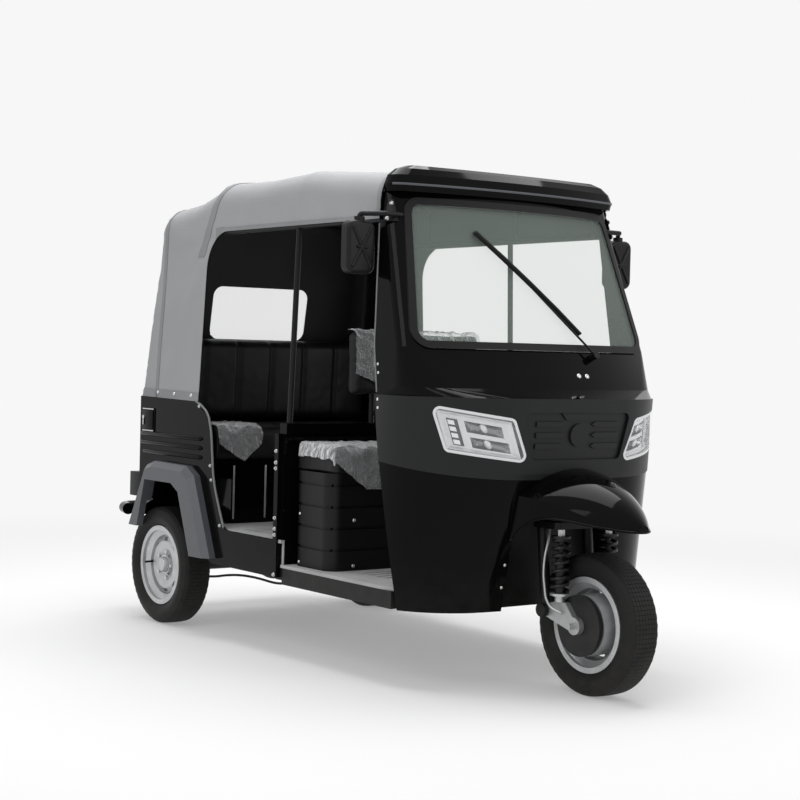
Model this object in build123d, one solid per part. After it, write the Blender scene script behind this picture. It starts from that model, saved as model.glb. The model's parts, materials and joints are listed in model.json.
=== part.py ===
from build123d import *
from math import atan2, cos, radians, sin, sqrt, tan
import os

# Three-wheeled auto rickshaw, in millimetres: +X forward, +Y to its left, +Z up, ground at z = 0.

# Wheels
tyre_radius = 247
tyre_width = 135
bead_radius = 152
rim_flange_radius = 166
rim_wall = 5
flange_y = 52
wheelbase = 2080
front_axle_x = 1115
rear_axle_x = front_axle_x - wheelbase
axle_z = tyre_radius
front_axle_radius = 10
rear_shaft_radius = 18
hub_radius = 42
drum_radius = 106
rim_holes = 8
rim_hole = (34, 14)
rim_hole_inset = 17

# Clearances
seat_gap = 0.3
pin_gap = 0.3
running_gap = 6
tyre_gap = 30

# Sheets and panels
skin = 7
panel = 8
floor_sheet = 12
canvas = 6
glass = 5

# Body
body_half = 580
rear_wheel_y = body_half - 56
drum_y = rear_wheel_y - 84
sill_inset = 15
sill_half = body_half - sill_inset
sill_z = 278
rear_sill_z = 302
floor_z = 352
rear_floor_z = 446
belt_z = 946
header_z = 1638
tail_x = -1212
tail_corner = 60
bumper_radius = 25
bumper_x = -1337
bumper_z = 462
bulkhead_x = 800
bench_front_x = -640
sill_front_x = 676
cross_member_x = (330, 630)

# Doorways, seen from the side
door_front = [(700, 230), (626, 682), (584, 930), (505, 1745)]
door_rear_x = -660
door_corner = 150
partition_x = -45
partition_wall = 20
partition_top_z = 850
partition_rail = 40
pillar_depth = 26

# Ladder frame
rail_y = body_half - 250
rail_width = 40
rail_height = 48

# Steering: the axis leans back and meets the ground ahead of the axle
steer_rake = 24
steer_ground_x = 1160
stem_radius = 17
head_radius = 30
yoke_z = 572
yoke_height = 24
leg_y = 105
leg_radius = 19
arm_y = 100
arm_width = 22
pivot = (965, 285)
shock_y = 112
shock_foot_x = 1048
shock_foot_z = 322
bar_z = 985
bar_radius = 11

# Plan outlines of the nose, from the sill to the ledge: height, front, half width, corner, and how far
# the arched front falls back by the sides
nose_sections = [
    (275, 890, body_half - 10, 280, 66),
    (760, 986, body_half + 2, 390, 69),
    (1020, 1008, body_half - 2, 390, 68),
]
# The same columns from the ledge to the windscreen's header
upper_sections = [
    (1020, 1004, body_half - 4, 385, 67),
    (1050, 905, body_half - 6, 170, 100),
    (1190, 838, body_half - 3, 55, 115),
    (1735, 638, body_half - 52, 58, 96),
]
# The seam between the lower cowl and the band, seen from the side: X and height at each end
band_seam = [(560, 795), (1060, 728)]
screen_top_z = upper_sections[-1][0]

# Canvas roof: station along X, height at the edge, height at the middle
roof_stations = [
    (528, 1796, 1834),
    (14, 1836, 1865),
    (-290, 1824, 1853),
    (-589, 1830, 1862),
    (-804, 1764, 1796),
    (-1012, 1743, 1775),
    (-1260, 1614, 1640),
]
roof_half = body_half - 43
roof_corner = 95
foot_half = body_half + 3
roof_reach = 60
foot_z = 880
# Rear wall of the canvas: height, X, corner
canvas_rear = [(foot_z, -1224, 140), (1900, -1046, 140)]
rear_half = body_half + 28
rear_bow = 31

# A length well outside the body, for cuts that go right through
beyond = body_half + 220

parts = {}


def block(x0, x1, y0, y1, z0, z1):
    """A box between two corners."""
    size = (x1 - x0, y1 - y0, z1 - z0)
    return Pos((x0 + x1) / 2, (y0 + y1) / 2, (z0 + z1) / 2) * Box(*size)


def rod(start, end, radius):
    """A round bar between two points."""
    start, end = Vector(*start), Vector(*end)
    return Plane(start, z_dir=end - start) * Cylinder(
        radius, (end - start).length, align=(Align.CENTER, Align.CENTER, Align.MIN))


def bent_tube(points, bend, radius):
    """A round tube along straight runs joined by bends."""
    path = FilletPolyline(*points, radius=bend)
    return sweep(Plane(path @ 0, z_dir=path % 0) * Circle(radius), path=path)


def side_plate(points, y0, y1, corner=None):
    """A plate cut to an outline seen from the side, with some corners rounded."""
    face = make_face(Polyline(*points, close=True))
    for index, radius in (corner or {}).items():
        spot = Vector(*points[index])
        vertex = min(face.vertices(), key=lambda v: (Vector(v) - spot).length)
        face = fillet(vertex, radius)
    return Pos(0, y1, 0) * extrude(Plane.XZ * face, amount=y1 - y0)


def both(solid):
    """A solid and its twin on the other side."""
    return [solid, mirror(solid, about=Plane.XZ)]


def front_arc(half, bow):
    """The radius of an arch that falls back by the bow at its half width."""
    return (half ** 2 + bow ** 2) / (2 * bow)


def plan_outline(z, front, half, corner, crown, back):
    """A plan outline with straight sides, round corners and a gently arched front."""
    middle = front - crown
    corner_y = half - corner
    corner_x = middle + sqrt((crown - corner) ** 2 - corner_y ** 2)
    lean = atan2(corner_y, corner_x - middle)
    half_turn = (lean + radians(90)) / 2
    meet = (middle + crown * cos(lean), crown * sin(lean))
    bow = (corner_x + corner * cos(half_turn), corner_y + corner * sin(half_turn))
    edges = [
        Line((back, -half), (corner_x, -half)),
        ThreePointArc((corner_x, -half), (bow[0], -bow[1]), (meet[0], -meet[1])),
        ThreePointArc((meet[0], -meet[1]), (front, 0), meet),
        ThreePointArc(meet, bow, (corner_x, half)),
        Line((corner_x, half), (back, half)),
        Line((back, half), (back, -half)),
    ]
    return Pos(0, 0, z) * make_face(edges)


def nose_form(table, grow=0, back=300):
    """The solid under a table of plan outlines, grown or shrunk all round."""
    return loft([
        plan_outline(z, front + grow, half + grow, corner + grow, front_arc(half, bow) + grow, back + grow)
        for z, front, half, corner, bow in table
    ], ruled=True)


def wall(table, outer, inner):
    """The skin between two sizes of one form, open at the back."""
    return nose_form(table, outer) - nose_form(table, inner, back=200)


def steer_x(z):
    """Where the steering axis is at a height."""
    return steer_ground_x - z * tan(radians(steer_rake))


def on_steer(z):
    return (steer_x(z), 0, z)


def turned(profile, x, y, z):
    """A body of revolution about a wheel's axis, from (radius, offset along Y) points."""
    face = make_face(Polyline(*profile, close=True))
    solid = revolve(face, axis=Axis.Y)
    return Pos(x, y, z) * solid


# Ladder frame: two rails that step up behind the driver, cross members and outriggers to the sills
front_rail = (floor_z - floor_sheet - rail_height, floor_z - floor_sheet)
rear_rail = (rear_floor_z - floor_sheet - rail_height, rear_floor_z - floor_sheet)
step_x = partition_x + partition_wall
frame_step_x = step_x - floor_sheet
pillar_y = sill_half - 6
rail_end_x = -1320
frame = Part()
for side in (-1, 1):
    y0, y1 = sorted((side * (rail_y - rail_width / 2), side * (rail_y + rail_width / 2)))
    frame += block(rail_end_x, frame_step_x, y0, y1, *rear_rail)
    frame += block(frame_step_x - rail_width, frame_step_x, y0, y1, front_rail[0], rear_rail[1])
    frame += block(frame_step_x - rail_width, bulkhead_x, y0, y1, *front_rail)
    s0, s1 = sorted((side * (sill_half - rail_width), side * sill_half))
    frame += block(step_x, sill_front_x, s0, s1, sill_z, floor_z - floor_sheet)
for x in (rail_end_x, bench_front_x + 20):
    frame += block(x, x + rail_width, -rail_y, rail_y, *rear_rail)
for x in (frame_step_x - rail_width, *cross_member_x):
    frame += block(x, x + rail_width, -pillar_y, pillar_y, *front_rail)
frame += block(bulkhead_x - rail_width, bulkhead_x, -rail_y, rail_y, *front_rail)
parts["chassis_frame"] = frame

# Floor: the driver's floor, a riser and the passengers' higher floor in one pressing
cabin_form = nose_form(nose_sections, -skin - seat_gap, back=-900)
floor = block(frame_step_x, bulkhead_x, -body_half, body_half, floor_z - floor_sheet, floor_z)
floor += block(frame_step_x, step_x, -pillar_y, pillar_y, floor_z - floor_sheet, rear_floor_z)
floor &= cabin_form
floor_half = body_half - panel - seat_gap
floor += block(bench_front_x, step_x, -floor_half, floor_half, rear_floor_z - floor_sheet, rear_floor_z)

# Lower cowl: one lofted skin, cut back to the doorways, with the wheel well open in front
well_half = 236
well_roof_z = 690
behind_doors = side_plate(
    door_front + [(505, 1900), (-400, 1900), (-400, 100), (700, 100)], -beyond, beyond)
seam_drop = [band_seam[0], band_seam[1], (1060, 2000), (560, 2000)]
above_seam = side_plate(seam_drop, -beyond, beyond)
nose_skin = wall(nose_sections, 0, -skin) - behind_doors
well_cut = block(700, 1200, -well_half, well_half, 200, well_roof_z)
parts["front_cowl_lower"] = (nose_skin - above_seam) - well_cut

# Band: carries the lamps and the grille, and stands a little proud of the cowl
band_proud = 3
lamp_corners = [(-168, 95), (-113, -66), (182, -104), (128, 52)]
lamp_round = 24
lamp_middle = (930, 180 - body_half, 900)
lamp_facing = (0.8156, -0.5787, 0)
lamp_depth = 62
lamp_rim = 10


def lamp_prism(inset, depth=200):
    """The right lamp's outline pushed through the band."""
    spot = Plane(lamp_middle, x_dir=(-lamp_facing[1], lamp_facing[0], 0), z_dir=lamp_facing)
    face = fillet(make_face(Polyline(*lamp_corners, close=True)).vertices(), lamp_round)
    if inset:
        face = offset(face, -inset)
    return extrude(spot * face, amount=depth / 2, both=True)


grille_top, grille_bottom = (body_half - 332, 972), (body_half - 374, 808)
grille_outline = [
    (-grille_top[0], grille_top[1]), (grille_top[0], grille_top[1]),
    (grille_bottom[0], grille_bottom[1]), (-grille_bottom[0], grille_bottom[1])]
grille_lip = 12
grille_round = 20
grille_reach = (900, 200)


def grille_prism(grow):
    """The grille's outline pushed through the front of the band."""
    face = fillet(make_face(Polyline(*grille_outline, close=True)).vertices(), grille_round)
    if grow:
        face = offset(face, grow)
    return Pos(grille_reach[0], 0, 0) * extrude(Plane.YZ * face, amount=grille_reach[1])


band = (wall(nose_sections, band_proud, -skin) - behind_doors) & above_seam
for prism in both(lamp_prism(0)):
    band -= prism
parts["front_band"] = band - grille_prism(0)

lamp_shells = wall(nose_sections, -skin, -lamp_depth) & lamp_prism(seat_gap)
lamp_shells -= wall(nose_sections, 0, lamp_rim - lamp_depth) & lamp_prism(lamp_rim)
lamp_shells += wall(nose_sections, band_proud - 1, -skin) & (lamp_prism(seat_gap) - lamp_prism(lamp_rim))
parts["headlamp_housings"] = both(lamp_shells)
parts["headlamp_lenses"] = both(
    wall(nose_sections, band_proud + 2, -glass) & lamp_prism(lamp_rim + seat_gap))

grille_plate = 8
grille_relief = wall(nose_sections, -1, -skin - grille_plate / 2)
slat_middles = [932, 894, 856]
slat_height = 18
slat_ends = (58, 76, body_half - 388)
brow_halves = (85, 62)
brow_z = (947, grille_top[1] - 1)
boss_radius = 40


def raised(points):
    """A raised shape on the grille, from its outline seen from the front."""
    face = make_face(Polyline(*points, close=True))
    return grille_relief & (Pos(grille_reach[0], 0, 0) * extrude(Plane.YZ * face, amount=grille_reach[1]))


grille = wall(nose_sections, -skin - seat_gap, -skin - grille_plate) & grille_prism(grille_lip)
for z in slat_middles:
    low, high = z - slat_height / 2, z + slat_height / 2
    for side in (-1, 1):
        tip, shoulder, end = (side * y for y in slat_ends)
        grille += raised([(tip, z), (shoulder, high), (end, high), (end, low), (shoulder, low)])
wide, narrow = brow_halves
grille += raised([(-wide, brow_z[1]), (wide, brow_z[1]), (narrow, brow_z[0]), (-narrow, brow_z[0])])
boss = Pos(grille_reach[0], 0, slat_middles[1]) * Rot(0, 90, 0) * Cylinder(boss_radius, 2 * grille_reach[1])
grille += wall(nose_sections, 1, -skin - grille_plate / 2) & boss
for prism in both(lamp_prism(-4)):
    grille -= prism
parts["grille"] = grille

# Upper cowl: the ledge, the pillars and the windscreen frame
upper_skin = 20
screen_bottom = (body_half - 26, 1186)
screen_top = (body_half - 102, 1718)
screen_round = 62
gasket_width = 26
gasket_proud = 7
screen_tilt = atan2(upper_sections[2][1] - upper_sections[3][1], upper_sections[3][0] - upper_sections[2][0])
screen_reach = (400, 600)


def screen_prism(inset):
    """The windscreen's outline pushed through its frame."""
    (low_half, low), (top_half, top) = screen_bottom, screen_top
    corners = [(-low_half, low), (low_half, low), (top_half, top), (-top_half, top)]
    face = fillet(make_face(Polyline(*corners, close=True)).vertices(), screen_round)
    if inset:
        face = offset(face, -inset)
    return Pos(screen_reach[0], 0, 0) * extrude(Plane.YZ * face, amount=screen_reach[1])


upper = wall(upper_sections, 0, -upper_skin) - behind_doors - screen_prism(0)
parts["front_cowl_upper"] = upper
parts["windscreen_gasket"] = wall(upper_sections, gasket_proud, -upper_skin / 2) & (
    screen_prism(seat_gap) - screen_prism(gasket_width))
parts["windscreen_glass"] = wall(upper_sections, 0, -glass) & screen_prism(gasket_width + seat_gap)

# Roof visor over the windscreen
visor_back = 530
visor_sections = [
    (screen_top_z + seat_gap, 648, body_half - 53, 56, 64),
    (1762, 656, body_half - 49, 60, 65),
    (1794, 646, body_half - 62, 58, 62),
    (1818, 624, body_half - 94, 52, 46),
    (1832, 590, body_half - 140, 30, 24),
]
visor_skin = 10
visor_seat = 84
visor = nose_form(visor_sections, 0, back=visor_back)
hollow = nose_form(visor_sections[:2], -visor_skin, back=visor_back)
under = block(visor_back + visor_seat, visor_back + 400, -beyond, beyond, screen_top_z, visor_sections[1][0])
parts["roof_visor"] = visor - (hollow & under)

# Front fender: a creased beak over the wheel: station along X, half width, crown, crease and lip heights
fender_stations = [
    (930, 252, 784, 690, 528),
    (985, 236, 778, 684, 580),
    (1036, 217, 769, 677, 610),
    (1119, 176, 745, 656, 613),
    (1208, 125, 704, 624, 600),
    (1286, 66, 649, 600, 588),
    (1332, 22, 608, 592, 584),
]
fender_skin = 6


def fender_form(shrink, drop=0):
    """The beak's solid, shrunk under the skin and dropped through the lip for the hollow."""
    sections = []
    for x, half, crown, crease, lip in fender_stations:
        half, crown, crease, lip = half - shrink, crown - shrink, crease - shrink, lip - drop
        outline = [
            Line((-half, lip), (-half, crease)),
            ThreePointArc((-half, crease), (0, crown), (half, crease)),
            Line((half, crease), (half, lip)),
            Line((half, lip), (-half, lip)),
        ]
        sections.append(Plane((x - shrink, 0, 0), x_dir=(0, 1, 0), z_dir=(1, 0, 0)) * make_face(outline))
    return loft(sections)


fender = fender_form(0) - fender_form(fender_skin, drop=40)
fender -= nose_form(nose_sections, band_proud + seat_gap)
parts["front_fender"] = fender

# Bulkhead: the dash wall and the wheel housing, trimmed to the inside of the nose
bulkhead_wall = 8
well_front_x = 1050
column_slot = (70, well_roof_z + bulkhead_wall, 885)
bulkhead_z = (nose_sections[0][0], nose_sections[-1][0] - 8)
bulkhead = block(bulkhead_x, bulkhead_x + bulkhead_wall, -beyond, beyond, *bulkhead_z)
bulkhead -= block(bulkhead_x - 50, bulkhead_x + 50, -column_slot[0], column_slot[0], *column_slot[1:])
for prism in both(lamp_prism(-6)):
    bulkhead -= prism
for side in (-1, 1):
    y0, y1 = sorted((side * well_half, side * (well_half + bulkhead_wall)))
    bulkhead += block(bulkhead_x, well_front_x, y0, y1, sill_z + 6, well_roof_z + bulkhead_wall)
roof_hole = Plane(on_steer(well_roof_z), z_dir=Vector(*on_steer(1000)) - Vector(*on_steer(0))) * Cylinder(
    head_radius + seat_gap, 200)
well_roof = block(
    bulkhead_x, well_front_x, -well_half, well_half, well_roof_z, well_roof_z + bulkhead_wall)
bulkhead += well_roof - roof_hole
parts["front_bulkhead"] = bulkhead & cabin_form

# Steering head: a tube on the steering axis, with gussets to the bulkhead
head_foot_z = 616
head_length = 149
head_span = (head_foot_z, head_foot_z + head_length)
head_tube = rod(on_steer(head_span[0]), on_steer(head_span[1]), head_radius)
gusset_z = (head_foot_z + 9, well_roof_z - seat_gap)
gusset_x = (bulkhead_x + bulkhead_wall + seat_gap, steer_x(gusset_z[0] + 15))
gussets = Part()
for y in (-20, 20):
    gussets += block(*gusset_x, y - 4, y + 4, *gusset_z)
head = head_tube + gussets
stem_bore = rod(on_steer(head_span[0] - 100), on_steer(head_span[1] + 100), stem_radius + pin_gap)
parts["steering_head"] = head - stem_bore

# Wiper: a post on the cowl, an arm and a blade that follows the glass
wiper_post = (195, 1165)
wiper_blade = [(150, 1245), (-45, 1422), (-240, 1600)]
wiper_lift = 6
blade_radius = 5


def on_screen(y, z, lift):
    """A point over the windscreen, lifted off along its slope."""
    low, high = upper_sections[2], upper_sections[3]
    front = low[1] + (z - low[0]) * (high[1] - low[1]) / (high[0] - low[0])
    front -= y ** 2 / (2 * front_arc(low[2], low[4]))
    return (front + lift * cos(screen_tilt), y, z + lift * sin(screen_tilt))


blade_path = ThreePointArc(*[on_screen(y, z, wiper_lift) for y, z in wiper_blade])
wiper = sweep(Plane(blade_path @ 0, z_dir=blade_path % 0) * Circle(blade_radius), path=blade_path)
wiper += rod(on_screen(*wiper_post, 28), on_screen(*wiper_blade[1], wiper_lift), 4)
wiper += rod(on_screen(*wiper_post, -20), on_screen(*wiper_post, 36), 13)
parts["wiper"] = wiper - nose_form(upper_sections, seat_gap)

# Mirrors on swept arms from brackets on the pillars
mirror_stem = (512, body_half + 42)
mirror_size = (44, 118, 188)
mirror_top_z = 1628
mirror_arm_z = 1652
mirror_root = (585, body_half - 90)
bracket = (550, 622, 1628, 1706)
bracket_inset = 68
bracket_thick = 7
mirror_shell = Box(*mirror_size)
mirror_shell = fillet(mirror_shell.edges().filter_by(Axis.X), 30)
mirror_shell = fillet(mirror_shell.faces().sort_by(Axis.X)[-1].edges(), 14)
mirror_unit = Pos(*mirror_stem, mirror_top_z - mirror_size[2] / 2) * mirror_shell
mirror_unit += bent_tube([
    (*mirror_root, mirror_arm_z), (mirror_root[0], body_half - 20, mirror_arm_z),
    (*mirror_stem, mirror_arm_z), (*mirror_stem, mirror_top_z - 20)], 14, 9)
mirror_unit += Pos(*mirror_stem, mirror_top_z) * Cylinder(19, 26)
mirror_unit += wall(upper_sections, bracket_thick, 0) & block(
    bracket[0], bracket[1], body_half - bracket_inset, beyond, bracket[2], bracket[3])
parts["mirrors"] = both(mirror_unit - nose_form(upper_sections, seat_gap))

# Canvas roof and its hoops


def roof_face(x, edge_z, mid_z, shrink):
    """A cross-section of the canvas at one station, leaning in towards the top."""
    low_half, top_half = foot_half - shrink, roof_half - shrink
    edge_z, mid_z = edge_z - shrink, mid_z - shrink
    outline = [
        Line((-low_half, foot_z), (-top_half, edge_z)),
        ThreePointArc((-top_half, edge_z), (0, mid_z), (top_half, edge_z)),
        Line((top_half, edge_z), (low_half, foot_z)),
        Line((low_half, foot_z), (-low_half, foot_z)),
    ]
    face = make_face(outline)
    top = face.vertices().group_by(Axis.Y)[-1]
    face = fillet(top, roof_corner - shrink)
    return Plane((x, 0, 0), x_dir=(0, 1, 0), z_dir=(1, 0, 0)) * face


def canvas_form(shrink, reach=0):
    """The solid under the canvas, shrunk for its inside."""
    first = (roof_stations[0][0] + reach,) + roof_stations[0][1:]
    top = loft([roof_face(*station, shrink) for station in [first] + roof_stations[1:]], ruled=True)
    crown = front_arc(rear_half, rear_bow)
    rear = loft([
        plan_outline(z, -x - shrink, rear_half - shrink, corner - shrink, crown, -800)
        for z, x, corner in canvas_rear
    ], ruled=True)
    return top & mirror(rear, about=Plane.YZ)


door_low_z, door_end_x = 700, 900
door_outline = [
    (door_rear_x, door_low_z), (door_rear_x, header_z), (door_end_x, header_z), (door_end_x, door_low_z)]
door_cut = side_plate(door_outline, -beyond, beyond, {1: door_corner})


def belt(x):
    """The line where canvas meets body, a little higher at the tail."""
    return belt_z - 0.016 * (x + 500)


belt_ends = [(x, belt(x) + seat_gap) for x in (tail_x - 200, door_end_x)]
below_belt = side_plate(
    [(tail_x - 200, door_low_z), *belt_ends, (door_end_x, door_low_z)], -beyond, beyond)
rear_window = (248, 1211, 1443)
window_round = 45


def window_prism(inset):
    half, low, high = rear_window
    face = make_face(Polyline((-half, low), (half, low), (half, high), (-half, high), close=True))
    face = fillet(face.vertices(), window_round)
    if inset:
        face = offset(face, -inset)
    return Pos(tail_x - 200, 0, 0) * extrude(Plane.YZ * face, amount=500)


outer_canvas = canvas_form(0)
canopy = outer_canvas - canvas_form(canvas, reach=roof_reach) - door_cut - below_belt
parts["canopy"] = canopy - window_prism(0)
parts["rear_window"] = (canvas_form(1) - canvas_form(4, reach=roof_reach)) & window_prism(seat_gap)

hoop_radius = 11
rail_inset = canvas + hoop_radius + 6
header_share = (header_z - foot_z) / (roof_stations[0][1] - foot_z)
rail_foot = foot_half + (roof_half - foot_half) * header_share - rail_inset
front_hoop_x = 480
rail_front_x = 512
hoops = Part()
for x, edge_z, mid_z in (roof_stations[0], roof_stations[1], roof_stations[3], roof_stations[5]):
    x = min(x, front_hoop_x)
    face = roof_face(x, edge_z, mid_z, rail_inset)
    path = Wire([edge for edge in face.edges() if edge.center().Z > 900])
    hoop = sweep(Plane(path @ 0, z_dir=path % 0) * Circle(hoop_radius), path=path)
    hoops += hoop - block(x - 50, x + 50, -beyond, beyond, 0, header_z)
for side in (-1, 1):
    rail_ends = [(x, side * rail_foot, header_z) for x in (roof_stations[5][0], rail_front_x)]
    hoops += rod(*rail_ends, hoop_radius)
parts["canopy_frame"] = hoops
post_x = partition_x + 22
post_lean = 24
post_foot = (post_x, rail_foot + post_lean, partition_top_z + partition_rail + 2 * seat_gap)
post_head = (post_x, rail_foot, header_z - hoop_radius - seat_gap)
parts["door_posts"] = both(rod(post_foot, post_head, hoop_radius))

# Rear side panels with ribs and an open wheel arch
arch_radius = tyre_radius + 36
arch_inner = [(-1090, 200), (-1090, 360), (-1009, 608), (-783, 608), (-723, 576), (-650, 380), (-630, 200)]
quarter_outline = [
    (tail_x + tail_corner, belt(tail_x + tail_corner)), (-684, belt(-684)), (-586, 898), (-556, 820),
    (-529, 640), (-443, rear_floor_z), (partition_x - pillar_depth, rear_floor_z),
    (partition_x - pillar_depth, rear_sill_z), (-520, rear_sill_z), (-600, 330), (-700, 420), (-1100, 420),
    (tail_x + tail_corner, 408)]
quarter = side_plate(quarter_outline, -body_half, -body_half + panel, {1: 40, 3: 60, 4: 90, 5: 60})
rib_heights = [(722, -1120), (760, -1140), (798, -1140)]
rib_depth = 5
for z, x0 in rib_heights:
    quarter += Pos((x0 - 620) / 2, -body_half, z) * Rot(0, 90, 0) * Cylinder(rib_depth, -620 - x0)
arch_cut = side_plate(arch_inner, -beyond, beyond, {2: 40, 4: 40})
arch_cut += Pos(rear_axle_x, 0, axle_z) * Rot(90, 0, 0) * Cylinder(arch_radius, 2 * beyond)
quarter -= arch_cut
flap_box = (-1128, -1021, 806, 908)
flap_proud = 4
flap = block(*flap_box[:2], -body_half - flap_proud, -body_half, *flap_box[2:])
flap = fillet(flap.edges().filter_by(Axis.Y), 10)
parts["rear_quarters"] = [quarter + flap, mirror(quarter, about=Plane.XZ)]

# Tail panel, wrapped round both rear corners
tail_low_z = rear_rail[1] + 6
tail_height = belt(tail_x + tail_corner) - tail_low_z
tail_flat = front_arc(body_half, 21)
outer_plan = plan_outline(tail_low_z, -tail_x, body_half, tail_corner, tail_flat, -tail_x - 100)
inner_plan = plan_outline(
    tail_low_z, -tail_x - panel, body_half - panel, tail_corner - panel, tail_flat, -tail_x - 200)
tail = extrude(outer_plan, amount=tail_height) - extrude(inner_plan, amount=tail_height)
tail = mirror(tail, about=Plane.YZ)
parts["tail_panel"] = tail - block(tail_x + tail_corner - seat_gap, 0, -beyond, beyond, 0, 1000)
lamp_seat = plan_outline(
    0, -tail_x + seat_gap, body_half + seat_gap, tail_corner + seat_gap, tail_flat, -tail_x - 200)
tail_lamp_z = (522, 622)
tail_lamp_proud = 58
lamp = block(tail_x - tail_lamp_proud, tail_x + 40, body_half - 112, body_half - 16, *tail_lamp_z)
lamp = fillet(lamp.faces().sort_by(Axis.X)[0].edges(), 12)
lamp -= mirror(extrude(lamp_seat, amount=1000), about=Plane.YZ)
parts["tail_lamps"] = both(lamp)

# Faceted flares outside the rear wheels
flare_outer = [(-1170, 405), (-1030, 668), (-963, 688), (-695, 684), (-632, 648), (-493, 326)]
flare_inner = [(-620, 324), (-723, 576), (-783, 608), (-1009, 608), (-1072, 405)]
flare_reach = 52
flare_bevel = 24
flare_half = body_half + flare_reach
flare = side_plate(flare_outer + flare_inner, -flare_half, -body_half - seat_gap)
outer_spots = [
    Vector((a[0] + b[0]) / 2, -flare_half, (a[1] + b[1]) / 2) for a, b in zip(flare_outer, flare_outer[1:])]
rim_edges = [edge for edge in flare.edges() if min((edge.center() - spot).length for spot in outer_spots) < 1]
flare = chamfer(rim_edges, flare_bevel)
flare -= Pos(rear_axle_x, -body_half, axle_z) * Rot(90, 0, 0) * Cylinder(tyre_radius + tyre_gap, 44)
parts["fender_flares"] = both(flare)

# Partition behind the driver
partition = block(partition_x, step_x, -sill_half, sill_half, rear_floor_z, partition_top_z)
rail_half = sill_half + 5
rail_z = (partition_top_z, partition_top_z + partition_rail)
partition += block(partition_x - 6, partition_x + 40, -rail_half, rail_half, *rail_z)
for side in (-1, 1):
    y0, y1 = sorted((side * pillar_y, side * body_half))
    pillar = block(partition_x - pillar_depth, partition_x, y0, y1, rear_sill_z, partition_top_z)
    partition += pillar
    floor -= pillar
parts["partition"] = partition
parts["floor_pan"] = floor

# Driver's seat: a ribbed box over the battery, a cushion and a back pad
seat_x = (-18, 235)
seat_half = 525
seat_top_z = 715
seat_corner = 55
seat_wall = 18
seat_groove = 6
groove_heights = [430, 510, 590, 670]
cushion_inset = 5
cushion_top_z = 808
seat_box = block(*seat_x, -seat_half, seat_half, floor_z, seat_top_z)
seat_box = fillet(seat_box.edges().filter_by(Axis.Z), seat_corner)


def seat_ring(inset, z0, z1):
    """The seat box's outline pulled in and drawn between two heights."""
    half = seat_half - inset
    return block(seat_x[0] + inset, seat_x[1] - inset, -half, half, z0, z1)


for z in groove_heights:
    core = seat_ring(seat_groove, z - 9, z + 9)
    core = fillet(core.edges().filter_by(Axis.Z), seat_corner - seat_groove)
    seat_box -= seat_ring(-20, z - 5, z + 5) - core
parts["driver_seat_base"] = seat_box - seat_ring(seat_wall, floor_z - 5, seat_top_z - 10)
battery_end = 135
battery_top_z = 600
battery = seat_ring(seat_wall + 22, floor_z, battery_top_z)
battery_half = seat_half - battery_end
parts["battery_block"] = battery & block(*seat_x, -battery_half, battery_half, 0, battery_top_z)
cushion_half = seat_half - cushion_inset
cushion_z = (seat_top_z + seat_gap, cushion_top_z)
cushion = block(seat_x[0] - 7, seat_x[1] + 13, -cushion_half, cushion_half, *cushion_z)
cushion_edges = cushion.edges().filter_by(Axis.Z) + cushion.faces().sort_by(Axis.Z)[-1].edges()
parts["driver_seat_cushion"] = fillet(cushion_edges, 30)
back_pad = fillet(block(0, 55, -311, 311, 1000, 1245).edges(), 20)
back_stays = Part()
for y in (-180, 180):
    back_stays += rod((-4, y, partition_top_z + partition_rail), (-4, y, 1200), 11)
parts["driver_seat_back"] = back_pad + back_stays

# Passengers' bench
bench_deck_z = 705
bench_side_gap = 59
bench_half = body_half - panel - bench_side_gap
bench_box_half = rear_wheel_y - tyre_width / 2 - tyre_gap
board_inset = 73
board_half = bench_half - board_inset
deck_half = body_half - panel - 12
bench_back_x = tail_x + panel + 24
board_wall = 26
board_lean = 0.055
board_top_z = 1190


def board_x(z):
    """The front of the leaning board behind the bench."""
    return bench_back_x + board_wall + (z - bench_deck_z) * board_lean


bench = block(bench_back_x, bench_front_x, -bench_box_half, bench_box_half, rear_floor_z, bench_deck_z)
bench += block(tail_x + tail_corner, bench_front_x, -deck_half, deck_half, bench_deck_z - 15, bench_deck_z)
bench += side_plate([
    (bench_back_x, bench_deck_z - 5), (board_x(bench_deck_z - 5), bench_deck_z - 5),
    (board_x(board_top_z), board_top_z), (board_x(board_top_z) - 18, board_top_z)], -board_half, board_half)
parts["bench_base"] = bench
bench_pad_top_z = 845
bench_pad_x = (bench_front_x - 430, bench_front_x + 20)
bench_pad = block(*bench_pad_x, -bench_half, bench_half, bench_deck_z + seat_gap, bench_pad_top_z)
parts["bench_cushion"] = fillet(bench_pad.edges().filter_by(Axis.Y), 40)
back_low_z, back_top_z, back_thick = 852, 1215, 106
back_outline = [
    (board_x(back_low_z) + seat_gap, back_low_z), (board_x(back_low_z) + back_thick, back_low_z),
    (board_x(back_top_z) + back_thick, back_top_z), (board_x(back_top_z) + seat_gap, back_top_z)]
parts["bench_back"] = side_plate(back_outline, -bench_half, bench_half, {1: 40, 2: 40})

# Rear axle: tube, differential, motor and the stub shafts
shaft_end = rear_wheel_y + 30
axle = rod((rear_axle_x, -drum_y + 22, axle_z), (rear_axle_x, drum_y - 22, axle_z), 32)
axle += rod((rear_axle_x, -shaft_end, axle_z), (rear_axle_x, shaft_end, axle_z), rear_shaft_radius)
axle += Pos(rear_axle_x, 0, axle_z) * Sphere(92)
axle += rod((rear_axle_x - 40, 60, axle_z), (rear_axle_x - 40, rail_y - 80, axle_z), 84)
for side in (-1, 1):
    plate_ends = [(rear_axle_x, side * (drum_y - inset), axle_z) for inset in (24, 14)]
    axle += rod(*plate_ends, drum_radius - 6)
    pad_y = side * rail_y
    axle += block(rear_axle_x - 50, rear_axle_x + 50, pad_y - 30, pad_y + 30, axle_z + 10, axle_z + 46)
parts["rear_axle"] = axle

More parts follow.
